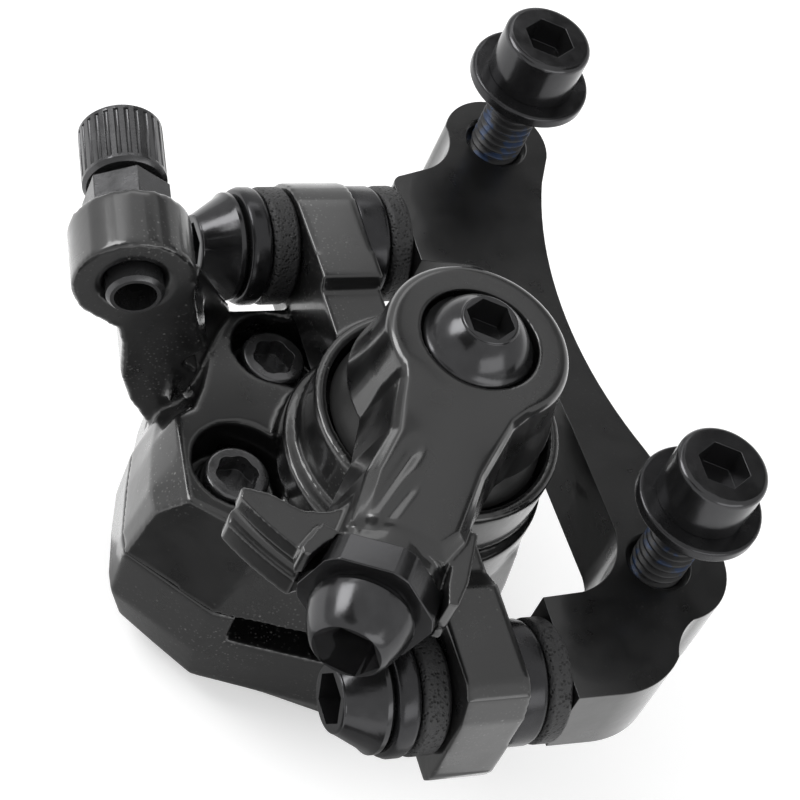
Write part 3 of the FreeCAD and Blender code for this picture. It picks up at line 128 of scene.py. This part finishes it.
class Finish:
    """The graph of a material, or of a world that is handed in, with its nodes made by one method."""

    def __init__(self, name, world=None):
        self.owner = world or bpy.data.materials.new(name)
        self.owner.use_nodes = True
        self.tree = self.owner.node_tree
        self.tree.nodes.clear()

    def node(self, kind, settings=None, *values, out=0, **named):
        """A node with its settings, then its inputs by order or by name, and one output as a wire."""
        made = self.tree.nodes.new(kind)
        for key, value in (settings or {}).items():
            setattr(made, key, value)
        for place, value in list(enumerate(values)) + list(named.items()):
            key = place if isinstance(place, int) else place.replace("_", " ")
            socket = made.inputs[key]
            if isinstance(value, Wire):
                self.tree.links.new(value.socket, socket)
            elif value is not None:
                socket.default_value = value
        return Wire(self, made.outputs[out])

    def math(self, operation, *values):
        return self.node("ShaderNodeMath", {"operation": operation}, *values)

    def close(self, shader, output="ShaderNodeOutputMaterial"):
        """Join the last shader to the output, and hand over the material or world."""
        last = self.tree.nodes.new(output)
        self.tree.links.new(shader.socket, last.inputs["Surface"])
        return self.owner


print("shader arithmetic ready")

# %% [markdown]
# Every finish here is made from a few patterns: clouds, scattered cells, and a step between two
# levels. They read Object coordinates, so a pattern lies still on its piece and needs no unwrapping.

# %% Patterns
MIX_COLOURS_FROM = 6
MIX_COLOUR_OUT = 2


class Pattern(Finish):
    """A finish with the patterns that the caliper's surfaces share."""

    def spot(self, per_mm, offset=(0, 0, 0)):
        """Object coordinates in millimetres, times a scale."""
        own = self.node("ShaderNodeTexCoord", out="Object")
        scale = per_mm / MM
        return self.node("ShaderNodeMapping", None, own, offset, (0, 0, 0), (scale, scale, scale))

    def noise(self, per_mm, detail=2.0, rough=0.5, offset=(0, 0, 0)):
        """Clouds between 0 and 1."""
        return self.node("ShaderNodeTexNoise", None, Vector=self.spot(per_mm, offset), Scale=1.0,
                         Detail=detail, Roughness=rough)

    def cells(self, per_mm, offset=(0, 0, 0)):
        """The distance to the nearest of scattered points."""
        return self.node("ShaderNodeTexVoronoi", None, Vector=self.spot(per_mm, offset), Scale=1.0,
                         out="Distance")

    def step(self, value, low, high, start=0.0, end=1.0):
        """start below low, end above high, straight between."""
        return self.node("ShaderNodeMapRange", None, value, low, high, start, end)

    def tint(self, mask, dark, light):
        """A colour between two, by a mask. The Mix node's colours come after its numbers and vectors."""
        skipped = [None] * (MIX_COLOURS_FROM - 1)
        return self.node("ShaderNodeMix", {"data_type": "RGBA"}, mask, *skipped, (*dark, 1.0), (*light, 1.0),
                         out=MIX_COLOUR_OUT)

    def bump(self, height, depth):
        """A height from 0 to about 1, times a depth in millimetres, as a slope of the surface."""
        return self.node("ShaderNodeBump", None, Strength=1.0, Distance=depth * MM, Height=height)

    def shade(self, **values):
        """The surface itself."""
        return self.close(self.node("ShaderNodeBsdfPrincipled", None, **values))

    def ray(self, kind):
        """1 on rays of one kind, such as Is Camera Ray, and 0 on all others."""
        return self.node("ShaderNodeLightPath", out=kind)


def times(colour, share):
    """Each value of a colour or a pair, times one factor."""
    return tuple(value * share for value in colour)


print("patterns ready")

# %% [markdown]
# The castings are aluminium under a baked gloss black. Such paint has a faint orange peel, a few
# grains of dust under it, and follows the small bumps that the mould left. One glossy layer would
# mirror too sharply, so a softer black lies under a clear coat.

# %% Black paint on the castings
PAINT = (0.005, 0.005, 0.0052)
DUST = (0.18, 0.18, 0.175)
CLEAR_COAT = 0.85
CLEAR_COAT_MATT = 0.12
# Bumps for each millimetre, and the levels of the mould's bumps between which the paint turns matt.
PEEL_PER_MM = 0.9
MOULD_PER_MM = 0.22
MOULD_LEVELS = (0.35, 0.65)
PAINT_MATT = (0.26, 0.38)
# Grains for each millimetre, the distances between which a grain fades out, and the thickness of
# the dusty cloud between which it comes in.
CLOUD_PER_MM = 0.08
SPECK_PER_MM = 0.75
SPECK_EDGE = (0.06, 0.12)
SPECK_CLOUD = (0.40, 0.58)
POWDER_PER_MM = 2.1
POWDER_EDGE = (0.15, 0.28)
POWDER_CLOUD = (0.45, 0.62)
POWDER_SHARE = 0.55
# How much dust hides the paint and dulls it, and the relief in shares of its depth in millimetres.
DUST_COVER = 0.6
DUST_MATT = 0.2
PAINT_DEPTH = 0.05
PEEL_HEIGHT = 0.25
MOULD_HEIGHT = 0.6
DUST_HEIGHT = 0.25


def black_paint(name, dusty):
    """Dust is coarse specks and fine powder, each where a slow cloud is thick enough."""
    paint = Pattern(name)
    peel = paint.noise(PEEL_PER_MM, rough=0.55)
    mould = paint.noise(MOULD_PER_MM, detail=3.0, offset=(3, 1, 7))
    cloud = paint.noise(CLOUD_PER_MM, offset=(9, 4, 2))
    speck = 1.0 - paint.step(paint.cells(SPECK_PER_MM, (5, 2, 1)), *SPECK_EDGE)
    powder = 1.0 - paint.step(paint.cells(POWDER_PER_MM, (1, 7, 4)), *POWDER_EDGE)
    coarse = speck * paint.step(cloud, *SPECK_CLOUD)
    fine = powder * paint.step(cloud, *POWDER_CLOUD) * POWDER_SHARE
    dust = (coarse + fine) * dusty
    height = peel * PEEL_HEIGHT + mould * MOULD_HEIGHT + dust * DUST_HEIGHT
    matt = paint.step(mould, *MOULD_LEVELS, *PAINT_MATT) + dust * DUST_MATT
    return paint.shade(Base_Color=paint.tint(dust * DUST_COVER, PAINT, DUST), Roughness=matt,
                       Normal=paint.bump(height, PAINT_DEPTH), Coat_Weight=CLEAR_COAT,
                       Coat_Roughness=CLEAR_COAT_MATT)


finishes = {"black_cast": black_paint("black_paint", 1.0), "clean_cast": black_paint("clean_paint", 0.12)}
print("paint", sorted(finishes))

# %% [markdown]
# Bolts, washers and screws are steel blackened in a hot bath, and the adjuster is anodised. The
# layer is thin, so it still mirrors as metal does: a dark metal, uneven in a slow cloud.

# %% Blackened metal
OXIDE_METAL = 0.85
OXIDE_PER_MM = 0.5
OXIDE_LEVELS = (0.3, 0.7)
OXIDE_TONES = (0.75, 1.25)
OXIDE_MATTS = (0.8, 1.25)
# The name, the tone, how matt it is, its marks for each millimetre and their depth in millimetres.
BLACKENED = {
    "black_steel": ("black_steel_finish", (0.058, 0.058, 0.060), 0.19, 2.4, 0.006),
    "dark_washer": ("dark_washer_finish", (0.042, 0.042, 0.044), 0.24, 1.8, 0.010),
    # The body screws get blackened steel in a lighter tone than the other bolts.
    "lighter_screw": ("lighter_screw_finish", (0.125, 0.125, 0.128), 0.24, 2.0, 0.008),
    "black_anodised": ("anodised_finish", (0.075, 0.075, 0.077), 0.24, 3.0, 0.010),
}


def blackened(name, tone, matt, marks_per_mm, depth):
    """A dark metal with fine machining and handling marks."""
    steel = Pattern(name)
    cloud = steel.noise(OXIDE_PER_MM, detail=3.0, rough=0.6)
    marks = steel.noise(marks_per_mm, rough=0.6, offset=(2, 8, 3))
    dark, light = (times(tone, share) for share in OXIDE_TONES)
    return steel.shade(Base_Color=steel.tint(cloud, dark, light), Metallic=OXIDE_METAL,
                       Roughness=steel.step(cloud, *OXIDE_LEVELS, *times(OXIDE_MATTS, matt)),
                       Normal=steel.bump(marks, depth))


for look, values in BLACKENED.items():
    finishes[look] = blackened(*values)
print("finishes so far", len(finishes))

# %% [markdown]
# The threads carry smears of blue locking compound, and the concave washers are pressed from iron
# powder, dull and full of open pores. Both are a mask between two colours; in the washers the darker
# colour is painted shade in the pores.

# %% Locked thread and sintered iron
BARE_THREAD = (0.014, 0.014, 0.015)
BLUE_COMPOUND = (0.005, 0.020, 0.060)
SMEARS_PER_MM = 0.40
SMEAR_EDGE = (0.53, 0.60)
THREAD_MARKS_PER_MM = 2.0
# The pores' colour is painted shade, darker than the iron, where the bump sinks the pits.
PAINTED_PORE_SHADE = (0.008, 0.008, 0.008)
PRESSED_IRON = (0.034, 0.034, 0.035)
GRAINS_PER_MM = 2.3
GRAIN_EDGE = (0.10, 0.45)
ROUGH_PER_MM = 2.2
# Depths of the relief in millimetres, and what the grains and the roughness add to it.
THREAD_DEPTH = 0.02
IRON_DEPTH = 0.16
GRAIN_HEIGHT = 0.6
ROUGH_HEIGHT = 0.9


def locked_thread():
    """A blackened thread with smears of blue locking compound."""
    thread = Pattern("locked_thread")
    compound = thread.step(thread.noise(SMEARS_PER_MM, rough=0.6, offset=(4, 1, 6)), *SMEAR_EDGE)
    return thread.shade(Base_Color=thread.tint(compound, BARE_THREAD, BLUE_COMPOUND), Metallic=0.3,
                        Roughness=0.42, Normal=thread.bump(thread.noise(THREAD_MARKS_PER_MM), THREAD_DEPTH))


def sintered_iron():
    """Pressed and sintered iron: dull, with open pores all over, sunk by the bump and darkened with painted
    shade.
    """
    iron = Pattern("sintered_iron")
    # The pore mask sinks the pits in the relief and paints shade into them.
    pit_relief_and_shade = iron.step(iron.cells(GRAINS_PER_MM), *GRAIN_EDGE)
    rough = iron.noise(ROUGH_PER_MM, detail=4.0, rough=0.7)
    height = pit_relief_and_shade * GRAIN_HEIGHT + rough * ROUGH_HEIGHT
    return iron.shade(Base_Color=iron.tint(pit_relief_and_shade, PAINTED_PORE_SHADE, PRESSED_IRON), Metallic=0.35, Roughness=0.5,
                      Normal=iron.bump(height, IRON_DEPTH))


finishes["locked_thread"] = locked_thread()
finishes["sintered_washer"] = sintered_iron()
print("finishes so far", len(finishes))

# %% [markdown]
# Inside, the bush is bronze and the springs, balls and piston are bright steel. The pad's lining and
# the dust cover are moulded stuffs, which mirror nothing sharply.

# %% Bare metal and moulded stuffs
METAL_PER_MM = 0.8
METAL_LEVELS = (0.3, 0.7)
METAL_DARKEST = 0.85
METAL_MATTS = (0.8, 1.3)
METAL_MARKS_PER_MM = 3.0
METAL_DEPTH = 0.01
LINING = ((0.035, 0.028, 0.022), (0.12, 0.10, 0.08))
PLASTIC = ((0.012, 0.012, 0.012), (0.02, 0.02, 0.02))


def bare_metal(name, colour, matt):
    """Clean metal, a little uneven in tone and polish."""
    metal = Pattern(name)
    cloud = metal.noise(METAL_PER_MM, detail=3.0, rough=0.6)
    return metal.shade(Base_Color=metal.tint(cloud, times(colour, METAL_DARKEST), colour), Metallic=1.0,
                       Roughness=metal.step(cloud, *METAL_LEVELS, *times(METAL_MATTS, matt)),
                       Normal=metal.bump(metal.noise(METAL_MARKS_PER_MM), METAL_DEPTH))


def moulded(name, colours, matt, per_mm, depth):
    """A moulded stuff without shine, cloudy between two colours."""
    stuff = Pattern(name)
    cloud = stuff.noise(per_mm, detail=4.0, rough=0.65)
    return stuff.shade(Base_Color=stuff.tint(cloud, *colours), Roughness=matt,
                       Normal=stuff.bump(cloud, depth))


finishes["bronze"] = bare_metal("bronze_finish", (0.45, 0.29, 0.13), matt=0.35)
finishes["bright_steel"] = bare_metal("bright_steel_finish", (0.62, 0.61, 0.59), matt=0.25)
finishes["friction_material"] = moulded("friction_finish", LINING, matt=0.85, per_mm=1.6, depth=0.08)
finishes["black_plastic"] = moulded("plastic_finish", PLASTIC, matt=0.42, per_mm=0.9, depth=0.02)
print("finishes", sorted(finishes))

# %% [markdown]
# A dressed piece is a copy of its CAD node that takes the node's place. The node's triangles are
# loose, so their shared corners are joined first. It rides on the same body as the node did.

# %% Dressing a piece
SAME_CORNER = 0.002 * MM
# The body screws take the lighter tone of blackened steel.
OWN_LOOK = {"body_screws": "lighter_screw", "adapter_bracket": "clean_cast", "lever_arm": "clean_cast"}


def merged_copy(node):
    """A copy of a CAD node's loose triangles with their shared corners joined."""
    mesh = nodes[node].data.copy()
    work = bmesh.new()
    work.from_mesh(mesh)
    bmesh.ops.remove_doubles(work, verts=work.verts, dist=SAME_CORNER)
    work.to_mesh(mesh)
    work.free()
    mesh.materials.clear()
    piece = bpy.data.objects.new(node + "_shown", mesh)
    scene.collection.objects.link(piece)
    return piece


def applied(piece):
    """Turn a piece's modifiers into its mesh."""
    bpy.context.view_layer.update()
    seen = piece.evaluated_get(bpy.context.evaluated_depsgraph_get())
    mesh = bpy.data.meshes.new_from_object(seen)
    piece.modifiers.clear()
    piece.data = mesh
    return piece


def seat(piece, node, finish):
    """Let a piece stand for a CAD node, on that node's body and in its finish or a look of its own."""
    piece.data.materials.clear()
    piece.data.materials.append(finishes[OWN_LOOK.get(node, finish)])
    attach(piece, body_of[node])
    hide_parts(node)
    print("%-24s %6d faces" % (piece.name, len(piece.data.polygons)))


def corners_of(mesh):
    """A mesh's corners as rows of x, y and z."""
    points = np.empty(len(mesh.vertices) * 3)
    mesh.vertices.foreach_get("co", points)
    return points.reshape(-1, 3)


print("looks of their own", sorted(OWN_LOOK))

# %% [markdown]
# A casting has no sharp edge: its mould is rounded and the paint rounds it again. Bevels on every
# edge would need clean edges, so the solid is skinned with small even faces and then relaxed.

# %% Softened copies of the cast pieces
RELAX_SHARE = 0.5
RELAX_ROUNDS = 6
# The size of the skin's faces in millimetres, and the share of them that is kept.
HOUSINGS = {"outboard_housing": (0.3, 0.45), "inboard_housing": (0.35, 0.4)}


def softened(node, voxel):
    """Skin a solid with even faces of a size in millimetres, and relax them."""
    piece = merged_copy(node)
    skin = piece.modifiers.new("skin", "REMESH")
    skin.mode = "VOXEL"
    skin.voxel_size = voxel * MM
    soft = piece.modifiers.new("relax", "SMOOTH")
    soft.factor = RELAX_SHARE
    soft.iterations = RELAX_ROUNDS
    return applied(piece)


def thinned(piece, keep):
    """Thin the faces out to a share of them, most where the surface is flat."""
    piece.modifiers.new("thin", "DECIMATE").ratio = keep
    applied(piece)
    piece.data.shade_smooth()
    return piece


for node, (voxel, keep) in HOUSINGS.items():
    seat(thinned(softened(node, voxel), keep), node, "black_cast")

# %% [markdown]
# The lever is forged, so its top is crowned and falls a little towards the cable, and two flow lines
# are left beside its middle. They are worked in after the skin is made.

# %% The forged lever
LEVER_VOXEL = 0.2
LEVER_KEEP = 0.5
PIVOT_AT = (-20.5 * MM, -10.4 * MM)
ARM_WAY = math.radians(235.2)
LEVER_TOP = 15.3 * MM
WORKED_FROM = LEVER_TOP - 2.2 * MM
WORKED_FULLY = LEVER_TOP - 0.5 * MM
# Along and across the arm, in millimetres from the pivot.
CROWN_STARTS = 6
CROWN_FULL = 14
RIDGE_ACROSS = 0.6
CROWN_HALF = 5
FALL_STARTS = 8
FLOW_LINES = (((15.0, -1.5), (28.8, -3.8), 0.32), ((19.3, -0.3), (27.5, -2.1), 0.24))
FLOW_WIDTH = 0.75
FLOW_FADE_IN = 3
FLOW_FADE_OUT = (2, 1)
# The top sinks by the crown at its half width, and by the fall for each millimetre along.
CROWN = 0.40 * MM
FALL = 0.025 * MM


def smooth_step(value, low, high):
    """3 t^2 - 2 t^3, with t = (value - low) / (high - low) held between 0 and 1."""
    part = np.clip((value - low) / (high - low), 0, 1)
    return part * part * (3 - 2 * part)


def flow_line(along, across, start, end):
    """exp(-(distance / width)^2) beside a line from start to end, faded at both ends."""
    way = np.array(end) - np.array(start)
    long = np.hypot(*way)
    way /= long
    reach = (along - start[0]) * way[0] + (across - start[1]) * way[1]
    aside = (across - start[1]) * way[0] - (along - start[0]) * way[1]
    before, after = FLOW_FADE_OUT
    fade = smooth_step(reach, 0, FLOW_FADE_IN) * (1 - smooth_step(reach, long - before, long + after))
    return fade * np.exp(-(aside / FLOW_WIDTH) ** 2)


def forged_lever():
    """With x along the arm and y across it, the top sinks by
    crown ((y - ridge) / half)^2 + fall (x - start) + the sum of depth times flow line."""
    piece = softened("lever_arm", LEVER_VOXEL)
    points = corners_of(piece.data)
    east = points[:, 0] - PIVOT_AT[0]
    north = points[:, 1] - PIVOT_AT[1]
    along = (east * math.cos(ARM_WAY) + north * math.sin(ARM_WAY)) / MM
    across = (-east * math.sin(ARM_WAY) + north * math.cos(ARM_WAY)) / MM
    sink = CROWN * smooth_step(along, CROWN_STARTS, CROWN_FULL) * ((across - RIDGE_ACROSS) / CROWN_HALF) ** 2
    sink += FALL * np.clip(along - FALL_STARTS, 0, None)
    for start, end, depth in FLOW_LINES:
        sink += depth * MM * flow_line(along, across, start, end)
    points[:, 2] -= sink * smooth_step(points[:, 2], WORKED_FROM, WORKED_FULLY)
    piece.data.vertices.foreach_set("co", points.ravel())
    return thinned(piece, LEVER_KEEP)


seat(forged_lever(), "lever_arm", "black_cast")

# %% [markdown]
# Turned and hexagonal pieces keep crisp edges, but a real edge is broken by a tenth of a millimetre,
# and that thin band is what catches the light. A Bevel modifier makes it.

# %% Machined pieces
FLAT_ENOUGH = math.radians(1.0)
SHARP = math.radians(32)
EDGE_ROWS = 2


def machined(node, edge):
    """A copy whose flat faces are whole again and whose edges are broken, by millimetres."""
    piece = merged_copy(node)
    work = bmesh.new()
    work.from_mesh(piece.data)
    bmesh.ops.dissolve_limit(work, angle_limit=FLAT_ENOUGH, verts=work.verts, edges=work.edges)
    work.to_mesh(piece.data)
    work.free()
    piece.data.shade_smooth()
    bevel = piece.modifiers.new("broken_edge", "BEVEL")
    bevel.width = edge * MM
    bevel.segments = EDGE_ROWS
    bevel.limit_method = "ANGLE"
    bevel.angle_limit = SHARP
    applied(piece)
    piece.data.shade_smooth()
    piece.modifiers.new("weighted", "WEIGHTED_NORMAL")
    return applied(piece)


# The width of the broken edge in millimetres, and the finish.
MACHINED = {
    "adapter_bracket": (0.35, "black_cast"),
    "fork_bolt_washers": (0.10, "dark_washer"),
    "post_bolts": (0.12, "black_steel"),
    "outer_convex_washers": (0.12, "dark_washer"),
    "outer_concave_washers": (0.15, "sintered_washer"),
    "inner_convex_washers": (0.12, "dark_washer"),
    "inner_concave_washers": (0.15, "sintered_washer"),
    "body_screws": (0.10, "black_steel"),
    "lever_bolt": (0.12, "black_steel"),
    "clamp_plate": (0.15, "black_steel"),
    "clamp_bolt": (0.12, "black_steel"),
    "dust_cover": (0.10, "black_plastic"),
    "adjuster_nut": (0.12, "black_anodised"),
    "barrel_adjuster": (0.05, "black_anodised"),
    "outboard_pad_backing": (0.10, "black_steel"),
    "inboard_pad_backing": (0.10, "black_steel"),
    "outboard_pad_lining": (0.10, "friction_material"),
    "inboard_pad_lining": (0.10, "friction_material"),
    "pad_adjuster_screw": (0.10, "black_steel"),
}
for node, (edge, finish) in MACHINED.items():
    seat(machined(node, edge), node, finish)

# %% [markdown]
# Ten millimetres of each fork bolt's thread stand in view. The CAD shank is drawn in below the
# thread's core, and a helical surface is wound round it, as wide as the shank was. A real helix has
# its crests and roots cut flat, so a triangle wave is stretched and clipped.

# %% Fork bolts with their threads
BOLT_EDGE = 0.12
THREAD_PITCH = 1.0 * MM
THREAD_OUTER = 2.98 * MM
THREAD_CORE = 2.42 * MM
THREAD_LOW = -1.0 * MM
THREAD_HIGH = 10.1 * MM
FLANK_STRETCH = 1.3225
FLANK_CUT = 0.12
STEPS_AROUND = 64
STEPS_UP = 133
SHANK_LIMIT = 3.1 * MM
SHANK_HIGH = THREAD_HIGH + 2 * MM
SHANK_DRAWN = THREAD_CORE * 0.9
ON_AXIS = 1e-6
FORK_BOLTS_AT = (29.0 * MM, -29.0 * MM)


def thread_surface(middle_y):
    """x = r cos a, y = middle + r sin a, z = low + v (high - low), with the radius
    r = core + (outer - core) flank(z / pitch - a / turn), flank being a triangle wave, stretched and cut."""
    around = np.linspace(0, 2 * np.pi, STEPS_AROUND, endpoint=False)
    rise = np.linspace(THREAD_LOW, THREAD_HIGH, STEPS_UP + 1)
    angle, level = np.meshgrid(around, rise)
    phase = (level / THREAD_PITCH - angle / (2 * np.pi)) % 1.0
    flank = np.clip(FLANK_STRETCH * (1 - np.abs(2 * phase - 1)) - FLANK_CUT, 0, 1)
    radius = THREAD_CORE + (THREAD_OUTER - THREAD_CORE) * flank
    points = np.stack([radius * np.cos(angle), middle_y + radius * np.sin(angle), level], axis=-1)
    at = np.arange(angle.size).reshape(angle.shape)
    right = np.roll(at, -1, axis=1)
    faces = np.stack([at[:-1], right[:-1], right[1:], at[1:]], axis=-1)
    return points.reshape(-1, 3), faces.reshape(-1, 4)


def on_shank(points, high):
    """For rows of points: the nearer bolt's y, the distance from its axis, and which are on its shank."""
    middle = np.where(points[:, 1] > 0, *FORK_BOLTS_AT)
    out = np.hypot(points[:, 0], points[:, 1] - middle)
    level = points[:, 2]
    return middle, out, (out < SHANK_LIMIT) & (level > THREAD_LOW) & (level < high)


def threaded_bolts():
    """The bolts with each shank drawn in and a thread wound round it."""
    piece = machined("fork_bolts", BOLT_EDGE)
    points = corners_of(piece.data)
    middle, out, shank = on_shank(points, SHANK_HIGH)
    share = np.where(shank, SHANK_DRAWN / np.maximum(out, ON_AXIS), 1.0)
    points[:, 0] *= share
    points[:, 1] = middle + (points[:, 1] - middle) * share
    piece.data.vertices.foreach_set("co", points.ravel())
    work = bmesh.new()
    work.from_mesh(piece.data)
    for middle_y in FORK_BOLTS_AT:
        thread = bpy.data.meshes.new("thread")
        corners, faces = thread_surface(middle_y)
        thread.from_pydata(corners.tolist(), [], faces.tolist())
        thread.shade_smooth()
        work.from_mesh(thread)
        bpy.data.meshes.remove(thread)
    work.to_mesh(piece.data)
    work.free()
    return piece


def smear(piece):
    """Give the thread's faces the finish with locking compound."""
    piece.data.materials.append(finishes["locked_thread"])
    centres = np.empty(len(piece.data.polygons) * 3)
    piece.data.polygons.foreach_get("center", centres)
    on_thread = on_shank(centres.reshape(-1, 3), THREAD_HIGH)[2]
    piece.data.polygons.foreach_set("material_index", on_thread.astype(np.int32))
    print("smeared faces", int(on_thread.sum()))


fork_bolts = threaded_bolts()
seat(fork_bolts, "fork_bolts", "black_steel")
smear(fork_bolts)

# %% [markdown]
# The pieces inside keep their CAD mesh, because hardly any of it shows, but each gets its finish.

# %% Inner pieces
INNER = {
    "spindle_bush": "bronze",
    "pad_spring": "bright_steel",
    "return_spring": "bright_steel",
    "thrust_washer": "bright_steel",
    "drive_spindle": "bright_steel",
    "drive_balls": "bright_steel",
    "pressure_piston": "bright_steel",
}
for node, finish in INNER.items():
    for place in nodes[node].material_slots:
        place.material = finishes[finish]
print("inner pieces", len(INNER))

# %% [markdown]
# The caliper stands on white cloth. The cloth catches its shadow, and glows a little to the camera
# and in reflections, so that it looks white without more light on the caliper.

# %% Floor
FLOOR_HALF = 3.0
FLOOR_GAP = 0.2 * MM
FLOOR_GLOW = 0.40
floor_level = cad_box[0][2] - FLOOR_GAP


def rectangle(x0, y0, x1, y1):
    """Four corners in the order of a face that looks up."""
    return (x0, y0), (x1, y0), (x1, y1), (x0, y1)


def sheet(name, corners, material):
    """One face that belongs to the studio."""
    mesh = bpy.data.meshes.new(name)
    mesh.from_pydata([tuple(corner) for corner in corners], [], [(0, 1, 2, 3)])
    mesh.materials.append(material)
    item = bpy.data.objects.new(name, mesh)
    scene.collection.objects.link(item)
    return item


def white_cloth():
    """A pale cloth whose glow only the camera and reflections see."""
    cloth = Pattern("white_floor")
    pale = cloth.tint(cloth.noise(0.05), (0.80, 0.80, 0.80), (0.82, 0.82, 0.82))
    matt = cloth.node("ShaderNodeBsdfDiffuse", None, Color=pale)
    seen = cloth.ray("Is Camera Ray") + cloth.ray("Is Glossy Ray") + cloth.ray("Is Transmission Ray")
    glow = cloth.node("ShaderNodeEmission", None, Color=(1, 1, 1, 1), Strength=seen * FLOOR_GLOW)
    return cloth.close(cloth.node("ShaderNodeAddShader", None, matt, glow))


floor_corners = rectangle(-FLOOR_HALF, -FLOOR_HALF, FLOOR_HALF, FLOOR_HALF)
sheet("floor", [(x, y, floor_level) for x, y in floor_corners], white_cloth())
print("floor at", round(floor_level, 5))

# %% [markdown]
# Black paint shows what it mirrors, so dark cards stand round the caliper, seen in reflections only.
# Those overhead on the right keep the bracket dark while the lever stays grey. Light could be taken
# away instead, but that would darken every face alike.

# %% Dark cards
BLACK_CARD = 0.014
OVERHEAD = 120
# Sides x0, y0, x1 and y1 in millimetres, and the tone.
OVERHEAD_CARDS = {
    "card_low_right": ((60, -20, 170, 46), BLACK_CARD),
    "card_mid_right": ((60, 46, 170, 104), 0.22),
    "card_high_right": ((60, 104, 170, 150), BLACK_CARD),
    "card_over_front": ((-10, 56, 31, 96), BLACK_CARD),
}
# The floor cards lie one behind the other, from a start at the caliper's front left. Each has its
# near and far end in millimetres from there, and its tone.
FLOOR_CARDS = {"card_beside": (0, 48, 0.36), "card_beyond": (48, 300, 0.08)}
FLOOR_SPAN = (-25, 45)
FLOOR_WAY = Vector((-0.85, -0.53, 0)).normalized()
FLOOR_SIDE = Vector((0.53, -0.85, 0)).normalized()
CARD_LIFT = 0.1 * MM
FLOOR_START = Vector((-30 * MM, -18 * MM, floor_level + CARD_LIFT))


def on_floor(way, side):
    """The point that lies way and side millimetres from the start of the floor cards."""
    return FLOOR_START + FLOOR_WAY * (way * MM) + FLOOR_SIDE * (side * MM)


def card_stuff(tone):
    """Matt card, whose tone goes up and down by a tenth."""
    stuff = Pattern("card_%03d" % round(tone * 1000))
    grey = (tone, tone, tone)
    uneven = stuff.tint(stuff.noise(0.02), times(grey, 0.9), times(grey, 1.1))
    return stuff.shade(Base_Color=uneven, Roughness=0.9)


def dark_card(name, corners, tone):
    """A card that only reflections show."""
    card = sheet(name, corners, card_stuff(tone))
    card.visible_camera = False
    card.visible_shadow = False
    card.visible_diffuse = False


for name, (sides, tone) in OVERHEAD_CARDS.items():
    dark_card(name, [(x * MM, y * MM, OVERHEAD * MM) for x, y in rectangle(*sides)], tone)
for name, (near, far, tone) in FLOOR_CARDS.items():
    spots = rectangle(near, FLOOR_SPAN[0], far, FLOOR_SPAN[1])
    dark_card(name, [on_floor(way, side) for way, side in spots], tone)
print("cards", len(OVERHEAD_CARDS) + len(FLOOR_CARDS))

# %% [markdown]
# The room behind the camera is dark too, and the faces that look straight at it show that. It is one
# more card, which faces the caliper.

# %% The dark room behind the camera
ROOM_WAY = Vector((-0.600, -0.139, 0.788))
ROOM_AWAY = 0.36
ROOM_HALF = (0.11, 0.07)
ROOM_TONE = 0.05
ALMOST_NONE = 1e-6
middle_of_box = (Vector(cad_box[0]) + Vector(cad_box[1])) / 2


def facing(at, target):
    """A frame at a point whose Z axis looks away from the target."""
    back = (at - target).normalized()
    right = Vector((0, 0, 1)).cross(back)
    right = right.normalized() if right.length > ALMOST_NONE else Vector((1, 0, 0))
    turned = Matrix((right, back.cross(right), back)).transposed().to_4x4()
    turned.translation = at
    return turned


room_frame = facing(middle_of_box + ROOM_WAY * ROOM_AWAY, middle_of_box)
room_corners = rectangle(-ROOM_HALF[0], -ROOM_HALF[1], ROOM_HALF[0], ROOM_HALF[1])
dark_card("card_room", [room_frame @ Vector((x, y, 0)) for x, y in room_corners], ROOM_TONE)
print("room card at", [round(value, 3) for value in room_frame.translation])

# %% [markdown]
# Round all this is a white tent, the world. The camera sees it at a strength of 1, which is white,
# and it lights the caliper at three quarters of that, so that the soft lamps still draw shapes.

# %% White tent and soft lamps
TENT_LIGHT = 0.75
TENT_SEEN = 1.0
WHITE = (1, 1, 1, 1)
# The way and distance from the caliper, the width and height in metres, and the power in watts.
SOFTBOXES = {
    "left_box": ((-0.620, 0.450, 0.640), 0.7, 0.36, 0.34, 2.5),
    "front_box": ((0.25, -1.0, 0.45), 0.8, 0.7, 0.35, 1.4),
    "back_strip": ((0.0, 1.0, 0.9), 0.8, 0.7, 0.15, 0.5),
}


def white_tent():
    """A world with one strength for the camera and another for everything else."""
    tent = Pattern("tent", bpy.data.worlds.new("tent"))
    seen = tent.math("MAXIMUM", tent.ray("Is Camera Ray"), tent.ray("Is Transmission Ray"))
    light = tent.node("ShaderNodeBackground", None, WHITE, TENT_LIGHT)
    white = tent.node("ShaderNodeBackground", None, WHITE, TENT_SEEN)
    return tent.close(tent.node("ShaderNodeMixShader", None, seen, light, white), "ShaderNodeOutputWorld")


def softbox(name, way, distance, wide, tall, power):
    """A large soft lamp in a direction from the caliper, facing it."""
    data = bpy.data.lights.new(name, "AREA")
    data.shape = "RECTANGLE"
    data.size = wide
    data.size_y = tall
    data.energy = power
    lamp = bpy.data.objects.new(name, data)
    lamp.matrix_world = facing(middle_of_box + Vector(way).normalized() * distance, middle_of_box)
    scene.collection.objects.link(lamp)


scene.world = white_tent()
for name, values in SOFTBOXES.items():
    softbox(name, *values)
scene.view_settings.view_transform = "Standard"
print("studio ready, lamps", len(SOFTBOXES))
